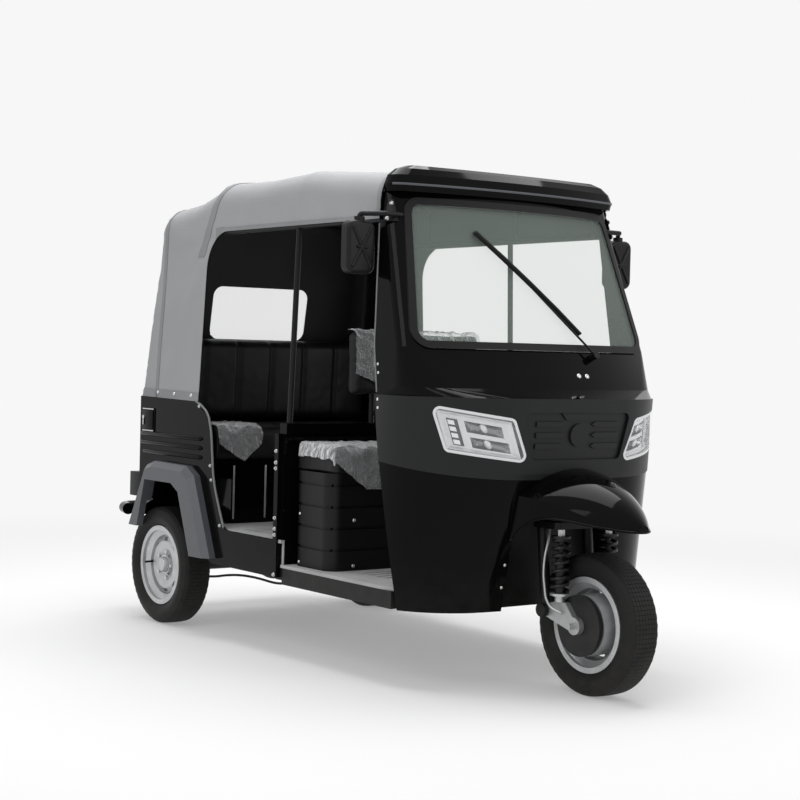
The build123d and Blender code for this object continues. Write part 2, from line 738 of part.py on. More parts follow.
# Leaf springs over the axle, with eyes under the rails
leaf_width = 50
leaf_thick = 8
spring_ends = (rear_axle_x - 330, rear_axle_x + 330)
leaf_z = axle_z + 46 + seat_gap
eye_z = rear_rail[0] - 16 - seat_gap
springs = []
for side in (-1, 1):
    spring = Part()
    for level, reach in ((2, 330), (1, 240), (0, 150)):
        low = leaf_z + level * leaf_thick
        drop = (eye_z - leaf_z - 2 * leaf_thick) * (reach / 330) ** 2
        a, b = rear_axle_x - reach, rear_axle_x + reach
        tip = low + drop + leaf_thick
        face = make_face([
            ThreePointArc((a, low + drop), (rear_axle_x, low), (b, low + drop)),
            Line((b, low + drop), (b, tip)),
            ThreePointArc((b, tip), (rear_axle_x, low + leaf_thick), (a, tip)),
            Line((a, tip), (a, low + drop))])
        y = side * rail_y + leaf_width / 2
        spring += Pos(0, y, 0) * extrude(Plane.XZ * face, amount=leaf_width)
    for x in spring_ends:
        eye_ends = [(x, side * rail_y + step * leaf_width / 2, eye_z) for step in (-1, 1)]
        spring += rod(*eye_ends, 16)
    springs.append(spring)
parts["leaf_springs"] = springs

# Rear dampers from the axle to the rails' inner faces
damper_y = rail_y - rail_width / 2 - 34
dampers = []
for side in (-1, 1):
    foot = (rear_axle_x + 52, side * damper_y, axle_z + 24)
    top = (rear_axle_x + 150, side * damper_y, rear_rail[1] - 14)
    mid = tuple((a + b) / 2 for a, b in zip(foot, top))
    damper = rod(foot, mid, 21) + rod(mid, top, 12)
    rail_face = rail_y - rail_width / 2
    damper += rod((top[0], side * (damper_y - 14), top[2]), (top[0], side * rail_face, top[2]), 13)
    damper += rod((foot[0], side * (damper_y - 14), foot[2]), (foot[0], side * (rail_y - 30), foot[2]), 13)
    dampers.append(damper)
parts["rear_shocks"] = dampers

# Rear bumper and tow lug
bumper_half = body_half - 20
bumper_end = (tail_x - 20, body_half + 8)
bumper = bent_tube([
    (bumper_end[0], -bumper_end[1], bumper_z), (bumper_x, -bumper_half, bumper_z),
    (bumper_x, bumper_half, bumper_z), (bumper_end[0], bumper_end[1], bumper_z)], 60, bumper_radius)
for side in (-1, 1):
    y0, y1 = sorted((side * (rail_y - 20), side * (rail_y + 20)))
    bumper += block(bumper_x, rail_end_x + 60, y0, y1, rear_rail[1] + seat_gap, bumper_z + 12)
parts["rear_bumper"] = bumper
lug_bore = 13
lug_x = rail_end_x - 24
lug_z = rear_rail[0] + 20
lug = block(lug_x, rail_end_x, -8, 8, rear_rail[0], rear_rail[0] + 40)
lug += Pos(lug_x, 0, lug_z) * Rot(90, 0, 0) * Cylinder(20, 16)
parts["tow_lug"] = lug - Pos(lug_x, 0, lug_z) * Rot(90, 0, 0) * Cylinder(lug_bore, 40)

# Brake cable slung under the right side
cable_radius = 5
cable_y = drum_y - 40
# Along X, how far outside cable_y, and height
cable_route = [
    (-902, 0, 196), (-800, 4, 205), (-690, 10, 226), (-560, 16, 242), (-420, 20, 246),
    (-290, 22, 240), (-200, 20, 252), (-138, 16, 284), (-79.5, 12, 306)]
cable_points = [(x, -cable_y - out, z) for x, out, z in cable_route]
cable_bends = []
for before, here, after in zip(cable_points, cable_points[1:], cable_points[2:]):
    first, second = Vector(*here) - Vector(*before), Vector(*after) - Vector(*here)
    half_turn = radians(first.get_angle(second)) / 2
    cable_bends.append(0.45 * min(first.length, second.length) / tan(half_turn))
parts["brake_cable"] = bent_tube(cable_points, cable_bends, cable_radius)

# Fork: stem, yoke and legs
fork = rod(on_steer(yoke_z + 4), on_steer(bar_z), stem_radius)
yoke_half = leg_y + 32
yoke_rear_x, yoke_leg_x, yoke_front_x = steer_x(yoke_z) - 40, 936, 1052
yoke_outline = [(yoke_rear_x, -45), (yoke_leg_x - 14, -yoke_half), (yoke_front_x, -yoke_half)]
yoke_outline += [(x, -y) for x, y in reversed(yoke_outline)]
yoke_face = fillet(make_face(Polyline(*yoke_outline, close=True)).vertices(), 20)
fork += Pos(0, 0, yoke_z) * extrude(yoke_face, amount=yoke_height)
for side in (-1, 1):
    fork += rod((yoke_leg_x, side * leg_y, yoke_z + 6), (pivot[0], side * leg_y, pivot[1]), leg_radius)
    boss_ends = [(pivot[0], side * y, pivot[1]) for y in (arm_y + arm_width / 2 + seat_gap, leg_y + 26)]
    fork += rod(*boss_ends, 24)
parts["fork"] = fork

# Leading link arms and the axle between them
arms = Part()
for side in (-1, 1):
    y0, y1 = sorted((side * (arm_y - arm_width / 2), side * (arm_y + arm_width / 2)))
    arm_top_z = shock_foot_z - seat_gap
    arm = side_plate([
        (pivot[0], pivot[1] - 20), (front_axle_x, axle_z - 24), (front_axle_x, axle_z + 24),
        (shock_foot_x + 22, arm_top_z), (shock_foot_x - 22, arm_top_z), (pivot[0], pivot[1] + 20)], y0, y1)
    arm += Pos(pivot[0], side * arm_y, pivot[1]) * Rot(90, 0, 0) * Cylinder(24, arm_width)
    arm += Pos(front_axle_x, side * arm_y, axle_z) * Rot(90, 0, 0) * Cylinder(30, arm_width)
    arms += arm
arms += rod((front_axle_x, -arm_y - 34, axle_z), (front_axle_x, arm_y + 34, axle_z), front_axle_radius)
parts["link_arms"] = arms
fork_trim = Part()
for side in (-1, 1):
    y0, y1 = sorted((side * (arm_y - arm_width / 2 - 20), side * (arm_y + arm_width / 2 + seat_gap)))
    fork_trim += Pos(pivot[0], (y0 + y1) / 2, pivot[1]) * Rot(90, 0, 0) * Cylinder(25, y1 - y0)
parts["fork"] = parts["fork"] - fork_trim - arms

# Front dampers with their springs, drawn as stacked coils
shocks = []
shock_low, shock_high = shock_foot_z, yoke_z - seat_gap
coil_outer, coil_inner, coil_count = 30, 21, 6
coil_low, coil_high = shock_low + 34, shock_high - 30
seat_low = coil_low - 8
profile = [(0, shock_low), (15, shock_low), (15, seat_low), (coil_outer, seat_low), (coil_outer, coil_low)]
pitch = (coil_high - coil_low) / coil_count
coil_share = 0.5
for turn in range(coil_count):
    z = coil_low + turn * pitch
    gap = z + pitch * coil_share
    profile += [(coil_inner, z), (coil_inner, gap), (coil_outer, gap), (coil_outer, z + pitch)]
profile += [(14, coil_high), (14, shock_high), (0, shock_high)]
for side in (-1, 1):
    face = make_face(Plane.XZ * Polyline(*profile, close=True))
    shocks.append(Pos(shock_foot_x - 6, side * shock_y, 0) * revolve(face, axis=Axis.Z))
parts["front_shocks"] = shocks

# Front wheel's brake plate, held by the right arm
plate_y = -arm_y + arm_width / 2 + seat_gap
brake_plate = rod((front_axle_x, plate_y, axle_z), (front_axle_x, plate_y + 16, axle_z), drum_radius)
axle_bore = rod((front_axle_x, -200, axle_z), (front_axle_x, 200, axle_z), front_axle_radius + pin_gap)
parts["front_brake_plate"] = brake_plate - axle_bore

# Handlebar with grips and an instrument pod
grip = (-190, 280)
bar_x = steer_x(bar_z)
bar_points = []
for x, y in ((grip[0], -grip[1]), (-120, -190), (0, -110), (0, 110), (-120, 190), (grip[0], grip[1])):
    bar_points.append((bar_x + x, y, bar_z + bar_radius + 8))
handlebar = bent_tube(bar_points, 40, bar_radius)
for side in (-1, 1):
    start = Vector(bar_x + grip[0], side * grip[1], bar_points[0][2])
    inward = (Vector(bar_x - 120, side * 190, bar_points[0][2]) - start).normalized()
    handlebar += rod(start - inward * 8, start + inward * 92, 17)
handlebar += block(bar_x - 26, bar_x + 26, -60, 60, bar_z - 14, bar_z + 34)
pod = block(bar_x - 50, bar_x + 26, -95, 95, bar_z + 34, bar_z + 96)
handlebar += fillet(pod.edges(), 14)
parts["handlebar"] = handlebar - rod(on_steer(bar_z - 60), on_steer(bar_z), stem_radius + pin_gap)

# Wheels: tyres and rims by revolving half sections given as (radius, offset)


def tyre(x, y):
    half = tyre_width / 2
    shoulder = tyre_radius - 22
    belly = (tyre_radius + rim_flange_radius) / 2
    bead = flange_y - rim_wall - seat_gap
    outline = [
        Line((bead_radius, -bead), (bead_radius, bead)),
        Line((bead_radius, bead), (rim_flange_radius, bead)),
        ThreePointArc((rim_flange_radius, bead), (belly, half), (shoulder, half - 8)),
        ThreePointArc((shoulder, half - 8), (tyre_radius - 5, half - 15), (tyre_radius - 1, half - 24)),
        ThreePointArc((tyre_radius - 1, half - 24), (tyre_radius, 0), (tyre_radius - 1, -half + 24)),
        ThreePointArc((tyre_radius - 1, -half + 24), (tyre_radius - 5, -half + 15), (shoulder, -half + 8)),
        ThreePointArc((shoulder, -half + 8), (belly, -half), (rim_flange_radius, -bead)),
        Line((rim_flange_radius, -bead), (bead_radius, -bead)),
    ]
    return Pos(x, y, axle_z) * revolve(make_face(outline), axis=Axis.Y)


barrel = bead_radius - seat_gap


def rim(x, y, outward, disc_offset, hub, hub_bore, hub_span):
    """A steel wheel: a dropped barrel, a pressed disc and its hub; offsets grow outward."""
    profile = [
        (rim_flange_radius, -flange_y), (rim_flange_radius, -flange_y + rim_wall),
        (barrel, -flange_y + rim_wall), (barrel, -flange_y + 16), (barrel - 22, -flange_y + 30),
        (barrel - 22, flange_y - 30),
        (barrel, flange_y - 16), (barrel, flange_y - rim_wall), (rim_flange_radius, flange_y - rim_wall),
        (rim_flange_radius, flange_y), (barrel - rim_wall, flange_y), (barrel - rim_wall, flange_y - 14),
        (barrel - 22 - rim_wall, flange_y - 28), (barrel - 22 - rim_wall, -flange_y + 28),
        (barrel - rim_wall, -flange_y + 14), (barrel - rim_wall, -flange_y)]
    inner = barrel - 22 - rim_wall
    disc = [
        (hub_bore, disc_offset), (hub - 6, disc_offset), (hub + 30, disc_offset + 14),
        (inner - 26, disc_offset + 14), (inner + 2, disc_offset - 4), (inner + 2, disc_offset - 12),
        (inner - 28, disc_offset + 6),
        (hub + 32, disc_offset + 6), (hub, disc_offset - 8), (hub_bore, disc_offset - 8)]
    core = [(hub_bore, hub_span[0]), (hub, hub_span[0]), (hub, hub_span[1]), (hub_bore, hub_span[1])]
    wheel = turned(profile, 0, 0, 0) + turned(disc, 0, 0, 0) + turned(core, 0, 0, 0)
    hole = extrude(Plane.XZ * Rot(0, 0, 90) * SlotOverall(*rim_hole), amount=40, both=True)
    for turn in range(rim_holes):
        wheel -= Rot(0, turn * 360 / rim_holes, 0) * Pos(inner - rim_hole_inset, disc_offset, 0) * hole
    if outward < 0:
        wheel = mirror(wheel, about=Plane.XZ)
    return Pos(x, y, axle_z) * wheel


def drum(y0, y1, bore):
    return turned([(bore, y0), (drum_radius, y0), (drum_radius, y1), (bore, y1)], 0, 0, 0)


for name, side in (("right", -1), ("left", 1)):
    parts[f"rear_tyre_{name}"] = tyre(rear_axle_x, side * rear_wheel_y)
    bore = rear_shaft_radius + pin_gap
    wheel = rim(rear_axle_x, side * rear_wheel_y, side, 12, hub_radius, bore, (-60, 26))
    inner_y = drum_y - rear_wheel_y
    shell = drum(inner_y - 4, inner_y + 60, bore)
    if side < 0:
        shell = mirror(shell, about=Plane.XZ)
    parts[f"rear_rim_{name}"] = wheel + Pos(rear_axle_x, side * rear_wheel_y, axle_z) * shell
front_bore = front_axle_radius + pin_gap
parts["front_tyre"] = tyre(front_axle_x, 0)
front_drum = Pos(front_axle_x, 0, axle_z) * drum(plate_y + 16 + running_gap, 22, front_bore)
parts["front_rim"] = rim(front_axle_x, 0, 1, 26, hub_radius, front_bore, (-60, 80)) + front_drum

# Write one file for each node
os.makedirs("parts", exist_ok=True)
for name, shape in parts.items():
    solids = shape if isinstance(shape, list) else [shape]
    pieces = [piece for item in solids for piece in item.solids()]
    export_step(Compound(children=pieces), f"parts/{name}.step")
    print(name, len(solids))
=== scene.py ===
# %% [markdown]
# # A three-wheeled auto rickshaw
# The solids of the vehicle arrive as a fixed frame, already at their real size and place, in metres. This
# lesson dresses them: finishes first, then the pieces that a solid can't show, such as stretched canvas,
# stuffed seats, tyre tread and lamp reflectors.

# %% Load the frame and keep its box
import json
import math
import bmesh
import bpy
from mathutils import Matrix, Vector, noise
from mathutils.bvhtree import BVHTree


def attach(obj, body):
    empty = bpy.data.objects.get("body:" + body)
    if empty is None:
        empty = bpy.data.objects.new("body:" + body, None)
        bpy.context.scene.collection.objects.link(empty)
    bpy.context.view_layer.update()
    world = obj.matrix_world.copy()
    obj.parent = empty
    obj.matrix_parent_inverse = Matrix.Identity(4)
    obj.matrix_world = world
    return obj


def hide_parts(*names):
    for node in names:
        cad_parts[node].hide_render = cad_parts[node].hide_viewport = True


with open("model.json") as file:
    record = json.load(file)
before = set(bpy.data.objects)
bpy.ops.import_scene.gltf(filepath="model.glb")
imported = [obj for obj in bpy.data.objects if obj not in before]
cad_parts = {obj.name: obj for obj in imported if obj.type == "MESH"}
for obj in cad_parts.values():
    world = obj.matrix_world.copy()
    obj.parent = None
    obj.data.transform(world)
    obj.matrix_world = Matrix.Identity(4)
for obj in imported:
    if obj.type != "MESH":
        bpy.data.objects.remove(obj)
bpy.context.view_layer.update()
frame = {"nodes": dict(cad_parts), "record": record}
solids = frame["nodes"]

# %% [markdown]
# ## Camera
# The camera stands off the right front corner, a little over a metre up, and looks through a long lens. A
# matrix made of its right, up and back directions sets the view and the slight roll in one step, which is
# easier to read than three angles.

# %% Camera
camera_place = Vector((5.438, -4.078, 1.161))
camera_azimuth = math.radians(53.44)
camera_pitch = math.radians(1.52)
camera_roll = math.radians(1.43)
camera_lens = 77.1

right = Vector((math.cos(camera_azimuth), math.sin(camera_azimuth), 0))
back = Vector((math.sin(camera_azimuth) * math.cos(camera_pitch),
               -math.cos(camera_azimuth) * math.cos(camera_pitch), math.sin(camera_pitch)))
up = back.cross(right)
rolled_right = right * math.cos(camera_roll) + up * math.sin(camera_roll)
rolled_up = up * math.cos(camera_roll) - right * math.sin(camera_roll)

camera_data = bpy.data.cameras.new("camera")
camera_data.lens = camera_lens
camera_data.sensor_width = 36
camera_data.clip_end = 200
camera = bpy.data.objects.new("camera", camera_data)
turn = Matrix((rolled_right, rolled_up, back)).transposed()
camera.matrix_world = Matrix.Translation(camera_place) @ turn.to_4x4()
bpy.context.scene.collection.objects.link(camera)
bpy.context.scene.camera = camera
bpy.context.scene.view_settings.view_transform = "Standard"
print("camera", camera_lens, "mm, at", tuple(camera_place))

# %% [markdown]
# Node trees are the same few calls over and over, so a small helper keeps the rest short: it adds a node
# and fills its sockets. A socket's value may be a number, a colour or the output of another node. Sockets
# that share a name are given by their place instead, as in0 or in1.

# %% Helpers for node trees


def add_node(tree, kind, settings=None, **sockets):
    """Adds a node; settings are its properties, sockets its inputs by name or place."""
    node = tree.nodes.new(kind)
    for key, value in (settings or {}).items():
        setattr(node, key, value)
    for key, value in sockets.items():
        socket = node.inputs[int(key[2:])] if key[:2] == "in" else node.inputs[key.replace("_", " ")]
        if isinstance(value, bpy.types.NodeSocket):
            tree.links.new(value, socket)
        else:
            socket.default_value = value
    return node


def rgb(red, green, blue):
    return (red, green, blue, 1.0)


# %% [markdown]
# ## Floor and light
# A studio sweep would be a curved sheet of paper. Here a flat floor does the same: near the vehicle it is
# plain paper that takes a shadow, and further out it fades into the tone of the background.

# %% Floor
backdrop_level = 0.93
floor_size = 60
paper_tone = 0.78
fade_start, fade_end, fade_least = 1.6, 6.0, 0.3
bm = bmesh.new()
bmesh.ops.create_grid(bm, x_segments=1, y_segments=1, size=floor_size / 2)
floor_mesh = bpy.data.meshes.new("floor")
bm.to_mesh(floor_mesh)
bm.free()
floor = bpy.data.objects.new("floor", floor_mesh)
bpy.context.scene.collection.objects.link(floor)

floor_material = bpy.data.materials.new("floor")
floor_material.use_nodes = True
tree = floor_material.node_tree
tree.nodes.clear()
place = add_node(tree, "ShaderNodeTexCoord")
away = add_node(tree, "ShaderNodeVectorMath", {"operation": "LENGTH"}, in0=place.outputs["Object"])
fade = add_node(tree, "ShaderNodeMapRange", {"interpolation_type": "SMOOTHSTEP"},
                Value=away.outputs["Value"], From_Min=fade_start, From_Max=fade_end, To_Min=fade_least)
paper = add_node(tree, "ShaderNodeBsdfDiffuse", Color=rgb(paper_tone, paper_tone, paper_tone))
glow = add_node(tree, "ShaderNodeEmission", Color=rgb(backdrop_level, backdrop_level, backdrop_level))
mixed = add_node(tree, "ShaderNodeMixShader", in0=fade.outputs["Result"], in1=paper.outputs[0],
                 in2=glow.outputs[0])
add_node(tree, "ShaderNodeOutputMaterial", Surface=mixed.outputs[0])
floor.data.materials.append(floor_material)
print("floor", floor_size, "m wide, fading from", fade_start, "to", fade_end, "m")

# %% [markdown]
# The world does two jobs. To the camera, to reflections and through glass it is the tone of the backdrop,
# and for all other rays it is a weaker, even light. Large soft lamps then give black paint long, clean
# highlights, which is how its shape is read: a key from the right, a fill from the left front and a broad
# lamp above.

# %% World and lamps
sky_light = 0.5
world = bpy.data.worlds.new("studio")
bpy.context.scene.world = world
world.use_nodes = True
tree = world.node_tree
tree.nodes.clear()
rays = add_node(tree, "ShaderNodeLightPath")
seen = add_node(tree, "ShaderNodeMath", {"operation": "MAXIMUM"}, in0=rays.outputs["Is Camera Ray"],
                in1=rays.outputs["Is Glossy Ray"])
seen = add_node(tree, "ShaderNodeMath", {"operation": "MAXIMUM"}, in0=seen.outputs[0],
                in1=rays.outputs["Is Transmission Ray"])
level = add_node(tree, "ShaderNodeMapRange", Value=seen.outputs[0], To_Min=sky_light, To_Max=backdrop_level)
sky = add_node(tree, "ShaderNodeBackground", Color=rgb(1, 1, 1), Strength=level.outputs["Result"])
add_node(tree, "ShaderNodeOutputWorld", Surface=sky.outputs[0])

# name: place, target, width, power
lamps = {
    "key": ((2.2, -5.5, 5.0), (0, 0, 0.9), 3.0, 85),
    "fill": ((6.0, 3.0, 3.5), (0, 0, 0.9), 2.5, 60),
    "top": ((-0.6, 0.4, 5.5), (-0.4, 0, 1.0), 4.5, 340),
}
for name, (spot, target, width, power) in lamps.items():
    lamp_data = bpy.data.lights.new(name, "AREA")
    lamp_data.size = width
    lamp_data.energy = power
    lamp = bpy.data.objects.new(name, lamp_data)
    lamp.location = spot
    lamp.rotation_euler = (Vector(target) - Vector(spot)).to_track_quat("-Z", "Y").to_euler()
    bpy.context.scene.collection.objects.link(lamp)
print("lamps:", list(lamps))

# %% [markdown]
# ## Finishes
# Every finish is one Principled shader with its own colour and gloss. What changes over a surface, such as
# grain, road dust, weave or crinkles, comes from shared node groups, so that all panels age the same way.
# The groups read Object coordinates, which don't slide when a wheel turns or a piece is edited.

# %% Grain and road dust


def new_group(name, inputs, outputs):
    """An empty shader node group with named number sockets."""
    group = bpy.data.node_groups.new(name, "ShaderNodeTree")
    for socket, value in inputs.items():
        made = group.interface.new_socket(socket, in_out="INPUT", socket_type="NodeSocketFloat")
        made.default_value = value
    for socket in outputs:
        group.interface.new_socket(socket, in_out="OUTPUT", socket_type="NodeSocketFloat")
    return group, group.nodes.new("NodeGroupInput"), group.nodes.new("NodeGroupOutput")


def make_grain_group():
    """Fine noise as a height, and a slow mottle as a mask."""
    group, given, out = new_group("grain", {"Scale": 400.0, "Mottle Scale": 6.0}, ["Height", "Mottle"])
    place = add_node(group, "ShaderNodeTexCoord").outputs["Object"]
    fine = add_node(group, "ShaderNodeTexNoise", Vector=place, Scale=given.outputs["Scale"], Detail=3.0)
    slow = add_node(group, "ShaderNodeTexNoise", Vector=place, Scale=given.outputs["Mottle Scale"],
                    Detail=5.0)
    group.links.new(fine.outputs["Fac"], out.inputs["Height"])
    group.links.new(slow.outputs["Fac"], out.inputs["Mottle"])
    return group


def make_dust_group():
    """Patchy road dust that fades out with height."""
    group, given, out = new_group("road_dust", {"Amount": 0.3, "Top": 0.6}, ["Mask"])
    place = add_node(group, "ShaderNodeTexCoord").outputs["Object"]
    height = add_node(group, "ShaderNodeSeparateXYZ", Vector=place)
    low = add_node(group, "ShaderNodeMapRange", Value=height.outputs["Z"], From_Min=given.outputs["Top"],
                   From_Max=0.0)
    patches = add_node(group, "ShaderNodeTexNoise", Vector=place, Scale=14.0, Detail=8.0, Roughness=0.65)
    patches = add_node(group, "ShaderNodeMapRange", Value=patches.outputs["Fac"], From_Min=0.35,
                       From_Max=0.75)
    mask = add_node(group, "ShaderNodeMath", {"operation": "MULTIPLY"}, in0=low.outputs["Result"],
                    in1=patches.outputs["Result"])
    mask = add_node(group, "ShaderNodeMath", {"operation": "MULTIPLY"}, in0=mask.outputs[0],
                    in1=given.outputs["Amount"])
    group.links.new(mask.outputs[0], out.inputs["Mask"])
    return group


grain_group, dust_group = make_grain_group(), make_dust_group()
print("node groups:", grain_group.name, dust_group.name)

# %% [markdown]
# Cloth and vinyl have a relief of their own. Canvas shows crossing threads, which wave textures along the
# three axes give on roof and walls alike. Seat vinyl is embossed with small cells: the distance to a cell's
# edge, rounded by a smooth step, is the height of the embossing.

# %% Weave and hide


def make_weave_group():
    """Threads along three directions, so that roof and walls both show a weave."""
    group, given, out = new_group("weave", {"Scale": 170.0}, ["Height"])
    place = add_node(group, "ShaderNodeTexCoord").outputs["Object"]
    threads = []
    for direction in "XYZ":
        wave = add_node(group, "ShaderNodeTexWave", {"bands_direction": direction}, Vector=place,
                        Scale=given.outputs["Scale"], Distortion=0.4)
        threads.append(wave.outputs["Fac"])
    total = add_node(group, "ShaderNodeMath", {"operation": "ADD"}, in0=threads[0], in1=threads[1])
    total = add_node(group, "ShaderNodeMath", {"operation": "ADD"}, in0=total.outputs[0], in1=threads[2])
    group.links.new(total.outputs[0], out.inputs["Height"])
    return group


def make_hide_group():
    """The small cells of vinyl that is embossed like hide."""
    group, given, out = new_group("hide", {"Scale": 320.0}, ["Height"])
    place = add_node(group, "ShaderNodeTexCoord").outputs["Object"]
    cells = add_node(group, "ShaderNodeTexVoronoi", {"feature": "DISTANCE_TO_EDGE"}, Vector=place,
                     Scale=given.outputs["Scale"])
    rounded = add_node(group, "ShaderNodeMapRange", {"interpolation_type": "SMOOTHSTEP"},
                       Value=cells.outputs["Distance"], From_Max=0.25)
    group.links.new(rounded.outputs["Result"], out.inputs["Height"])
    return group


weave_group, hide_group = make_weave_group(), make_hide_group()
print("node groups:", weave_group.name, hide_group.name)

# %% [markdown]
# Most finishes are a colour that drifts a little, a gloss that drifts with it, a relief and some dust. One
# function takes those as numbers. Clear pieces differ: they let light through by Alpha, which is quick to
# render.

# %% Functions for finishes
dust_colour = (0.16, 0.145, 0.125)


def make_finish(name, colour, roughness, metallic=0.0, coat=0.0, specular=0.5, relief=grain_group,
                scale=400.0, depth=0.0002, bump=0.15, drift=0.12, dust=0.0, dust_top=0.6):
    """A Principled finish with a drifting colour and gloss, a fine relief and road dust."""
    material = bpy.data.materials.new(name)
    material.use_nodes = True
    tree = material.node_tree
    shader = tree.nodes["Principled BSDF"]
    grain = add_node(tree, "ShaderNodeGroup", {"node_tree": grain_group}, Scale=400.0)
    darker = rgb(*(part * (1 - drift) for part in colour))
    lighter = rgb(*(min(1.0, part * (1 + drift)) for part in colour))
    tint = add_node(tree, "ShaderNodeMix", {"data_type": "RGBA"}, in0=grain.outputs["Mottle"], in6=darker,
                    in7=lighter)
    gloss = add_node(tree, "ShaderNodeMapRange", Value=grain.outputs["Mottle"],
                     To_Min=roughness * 0.85, To_Max=min(1.0, roughness * 1.15))
    colour_out, gloss_out = tint.outputs[2], gloss.outputs["Result"]
    if dust:
        film = add_node(tree, "ShaderNodeGroup", {"node_tree": dust_group}, Amount=dust, Top=dust_top)
        dusty = add_node(tree, "ShaderNodeMix", {"data_type": "RGBA"}, in0=film.outputs["Mask"],
                         in6=colour_out, in7=rgb(*dust_colour))
        dull = add_node(tree, "ShaderNodeMix", in0=film.outputs["Mask"], in2=gloss_out, in3=0.9)
        colour_out, gloss_out = dusty.outputs[2], dull.outputs[0]
    ground = add_node(tree, "ShaderNodeGroup", {"node_tree": relief}, Scale=scale)
    bumps = add_node(tree, "ShaderNodeBump", Strength=bump, Distance=depth, Height=ground.outputs["Height"])
    tree.links.new(colour_out, shader.inputs["Base Color"])
    tree.links.new(gloss_out, shader.inputs["Roughness"])
    tree.links.new(bumps.outputs["Normal"], shader.inputs["Normal"])
    shader.inputs["Metallic"].default_value = metallic
    shader.inputs["Specular IOR Level"].default_value = specular
    shader.inputs["Coat Weight"].default_value = coat
    shader.inputs["Coat Roughness"].default_value = 0.03
    return material


def make_clear(name, colour, alpha, roughness=0.03, crinkle=0.0):
    """A clear sheet; crinkle gives film the small creases that catch light."""
    material = bpy.data.materials.new(name)
    material.use_nodes = True
    tree = material.node_tree
    shader = tree.nodes["Principled BSDF"]
    shader.inputs["Base Color"].default_value = rgb(*colour)
    shader.inputs["Roughness"].default_value = roughness
    shader.inputs["Alpha"].default_value = alpha
    if crinkle:
        folds = add_node(tree, "ShaderNodeGroup", {"node_tree": grain_group}, Scale=45.0)
        bumps = add_node(tree, "ShaderNodeBump", Strength=crinkle, Distance=0.02,
                         Height=folds.outputs["Height"])
        tree.links.new(bumps.outputs["Normal"], shader.inputs["Normal"])
        tilt = add_node(tree, "ShaderNodeFresnel", IOR=1.6, Normal=bumps.outputs["Normal"])
        cover = add_node(tree, "ShaderNodeMapRange", Value=tilt.outputs["Fac"], From_Min=0.05, From_Max=0.2,
                         To_Min=alpha, To_Max=0.95)
        tree.links.new(cover.outputs["Result"], shader.inputs["Alpha"])
    return material


# %% [markdown]
# Colours are linear values, so they are lower than they look. Black paint is close to nothing, and what the
# eye sees on it is the light that it mirrors. Rubber, plastic and vinyl are hardly lighter, and differ by
# how rough they are. Each solid then takes the finish that its row in the record names.

# %% The finishes
opaque = {
    "black_paint": dict(colour=(0.002, 0.002, 0.0022), roughness=0.06, specular=0.08, scale=60, bump=0.02,
                        dust=0.12, dust_top=0.45),
    "band_plastic": dict(colour=(0.01, 0.0105, 0.0112), roughness=0.42, specular=0.22, scale=900, bump=0.3),
    "flare_plastic": dict(colour=(0.065, 0.07, 0.08), roughness=0.36, scale=900, bump=0.3, dust=0.3,
                          dust_top=0.7),
    "canvas": dict(colour=(0.31, 0.315, 0.325), roughness=0.75, specular=0.3, relief=weave_group, scale=170,
                   bump=0.35, depth=0.0004, drift=0.1),
    "red_lens": dict(colour=(0.35, 0.01, 0.01), roughness=0.12, coat=0.6, scale=300, bump=0.3),
    "lamp_bowl": dict(colour=(0.72, 0.73, 0.74), roughness=0.22, metallic=0.35, drift=0.03),
    "frame_paint": dict(colour=(0.004, 0.004, 0.0042), roughness=0.4, specular=0.2, dust=0.2, dust_top=0.5),
    "floor_mat": dict(colour=(0.4, 0.405, 0.4), roughness=0.8, scale=900, depth=0.0006, bump=0.6, drift=0.25),
    "rubber": dict(colour=(0.005, 0.005, 0.005), roughness=0.5, specular=0.2),
    "tyre": dict(colour=(0.0075, 0.0075, 0.0075), roughness=0.6, specular=0.2, dust=0.14, dust_top=0.5,
                 depth=0.0004),
    "wheel_silver": dict(colour=(0.55, 0.56, 0.57), roughness=0.3, metallic=0.55, dust=0.5, dust_top=0.6),
    "cast_alloy": dict(colour=(0.5, 0.505, 0.51), roughness=0.42, metallic=0.85, scale=500, bump=0.35,
                       dust=0.4),
    "black_plastic": dict(colour=(0.006, 0.006, 0.0065), roughness=0.42, specular=0.2, scale=700, bump=0.25),
    "seat_cover": dict(colour=(0.006, 0.006, 0.0065), roughness=0.42, specular=0.25, relief=hide_group,
                       scale=320, bump=0.35, depth=0.0005),
    "steel": dict(colour=(0.006, 0.006, 0.0065), roughness=0.4, specular=0.3, dust=0.15),
    "zinc": dict(colour=(0.6, 0.6, 0.59), roughness=0.3, metallic=0.9),
    "mirror_silver": dict(colour=(0.8, 0.82, 0.83), roughness=0.03, metallic=1.0, bump=0.0),
    "reflector": dict(colour=(0.2, 0.205, 0.21), roughness=0.15, metallic=1.0, scale=120, depth=0.002,
                      bump=0.6),
    "seam_thread": dict(colour=(0.22, 0.224, 0.232), roughness=0.8, relief=weave_group, scale=300),
    "edge_piping": dict(colour=(0.16, 0.165, 0.17), roughness=0.4),
}
clear = {
    "clear_film": dict(colour=(0.86, 0.9, 0.9), alpha=0.22, roughness=0.08),
    "glass": dict(colour=(0.42, 0.5, 0.45), alpha=0.16),
    "lens": dict(colour=(0.95, 0.96, 0.97), alpha=0.08),
    "loose_film": dict(colour=(0.95, 0.96, 0.98), alpha=0.2, roughness=0.05, crinkle=0.6),
}
finishes = {name: make_finish(name, **values) for name, values in opaque.items()}
finishes.update({name: make_clear(name, **values) for name, values in clear.items()})
for row in frame["record"]["subparts"]:
    piece = solids[row["node"]]
    piece.data.materials.clear()
    piece.data.materials.append(finishes[row["material_slot"]])
print("finishes:", len(finishes))

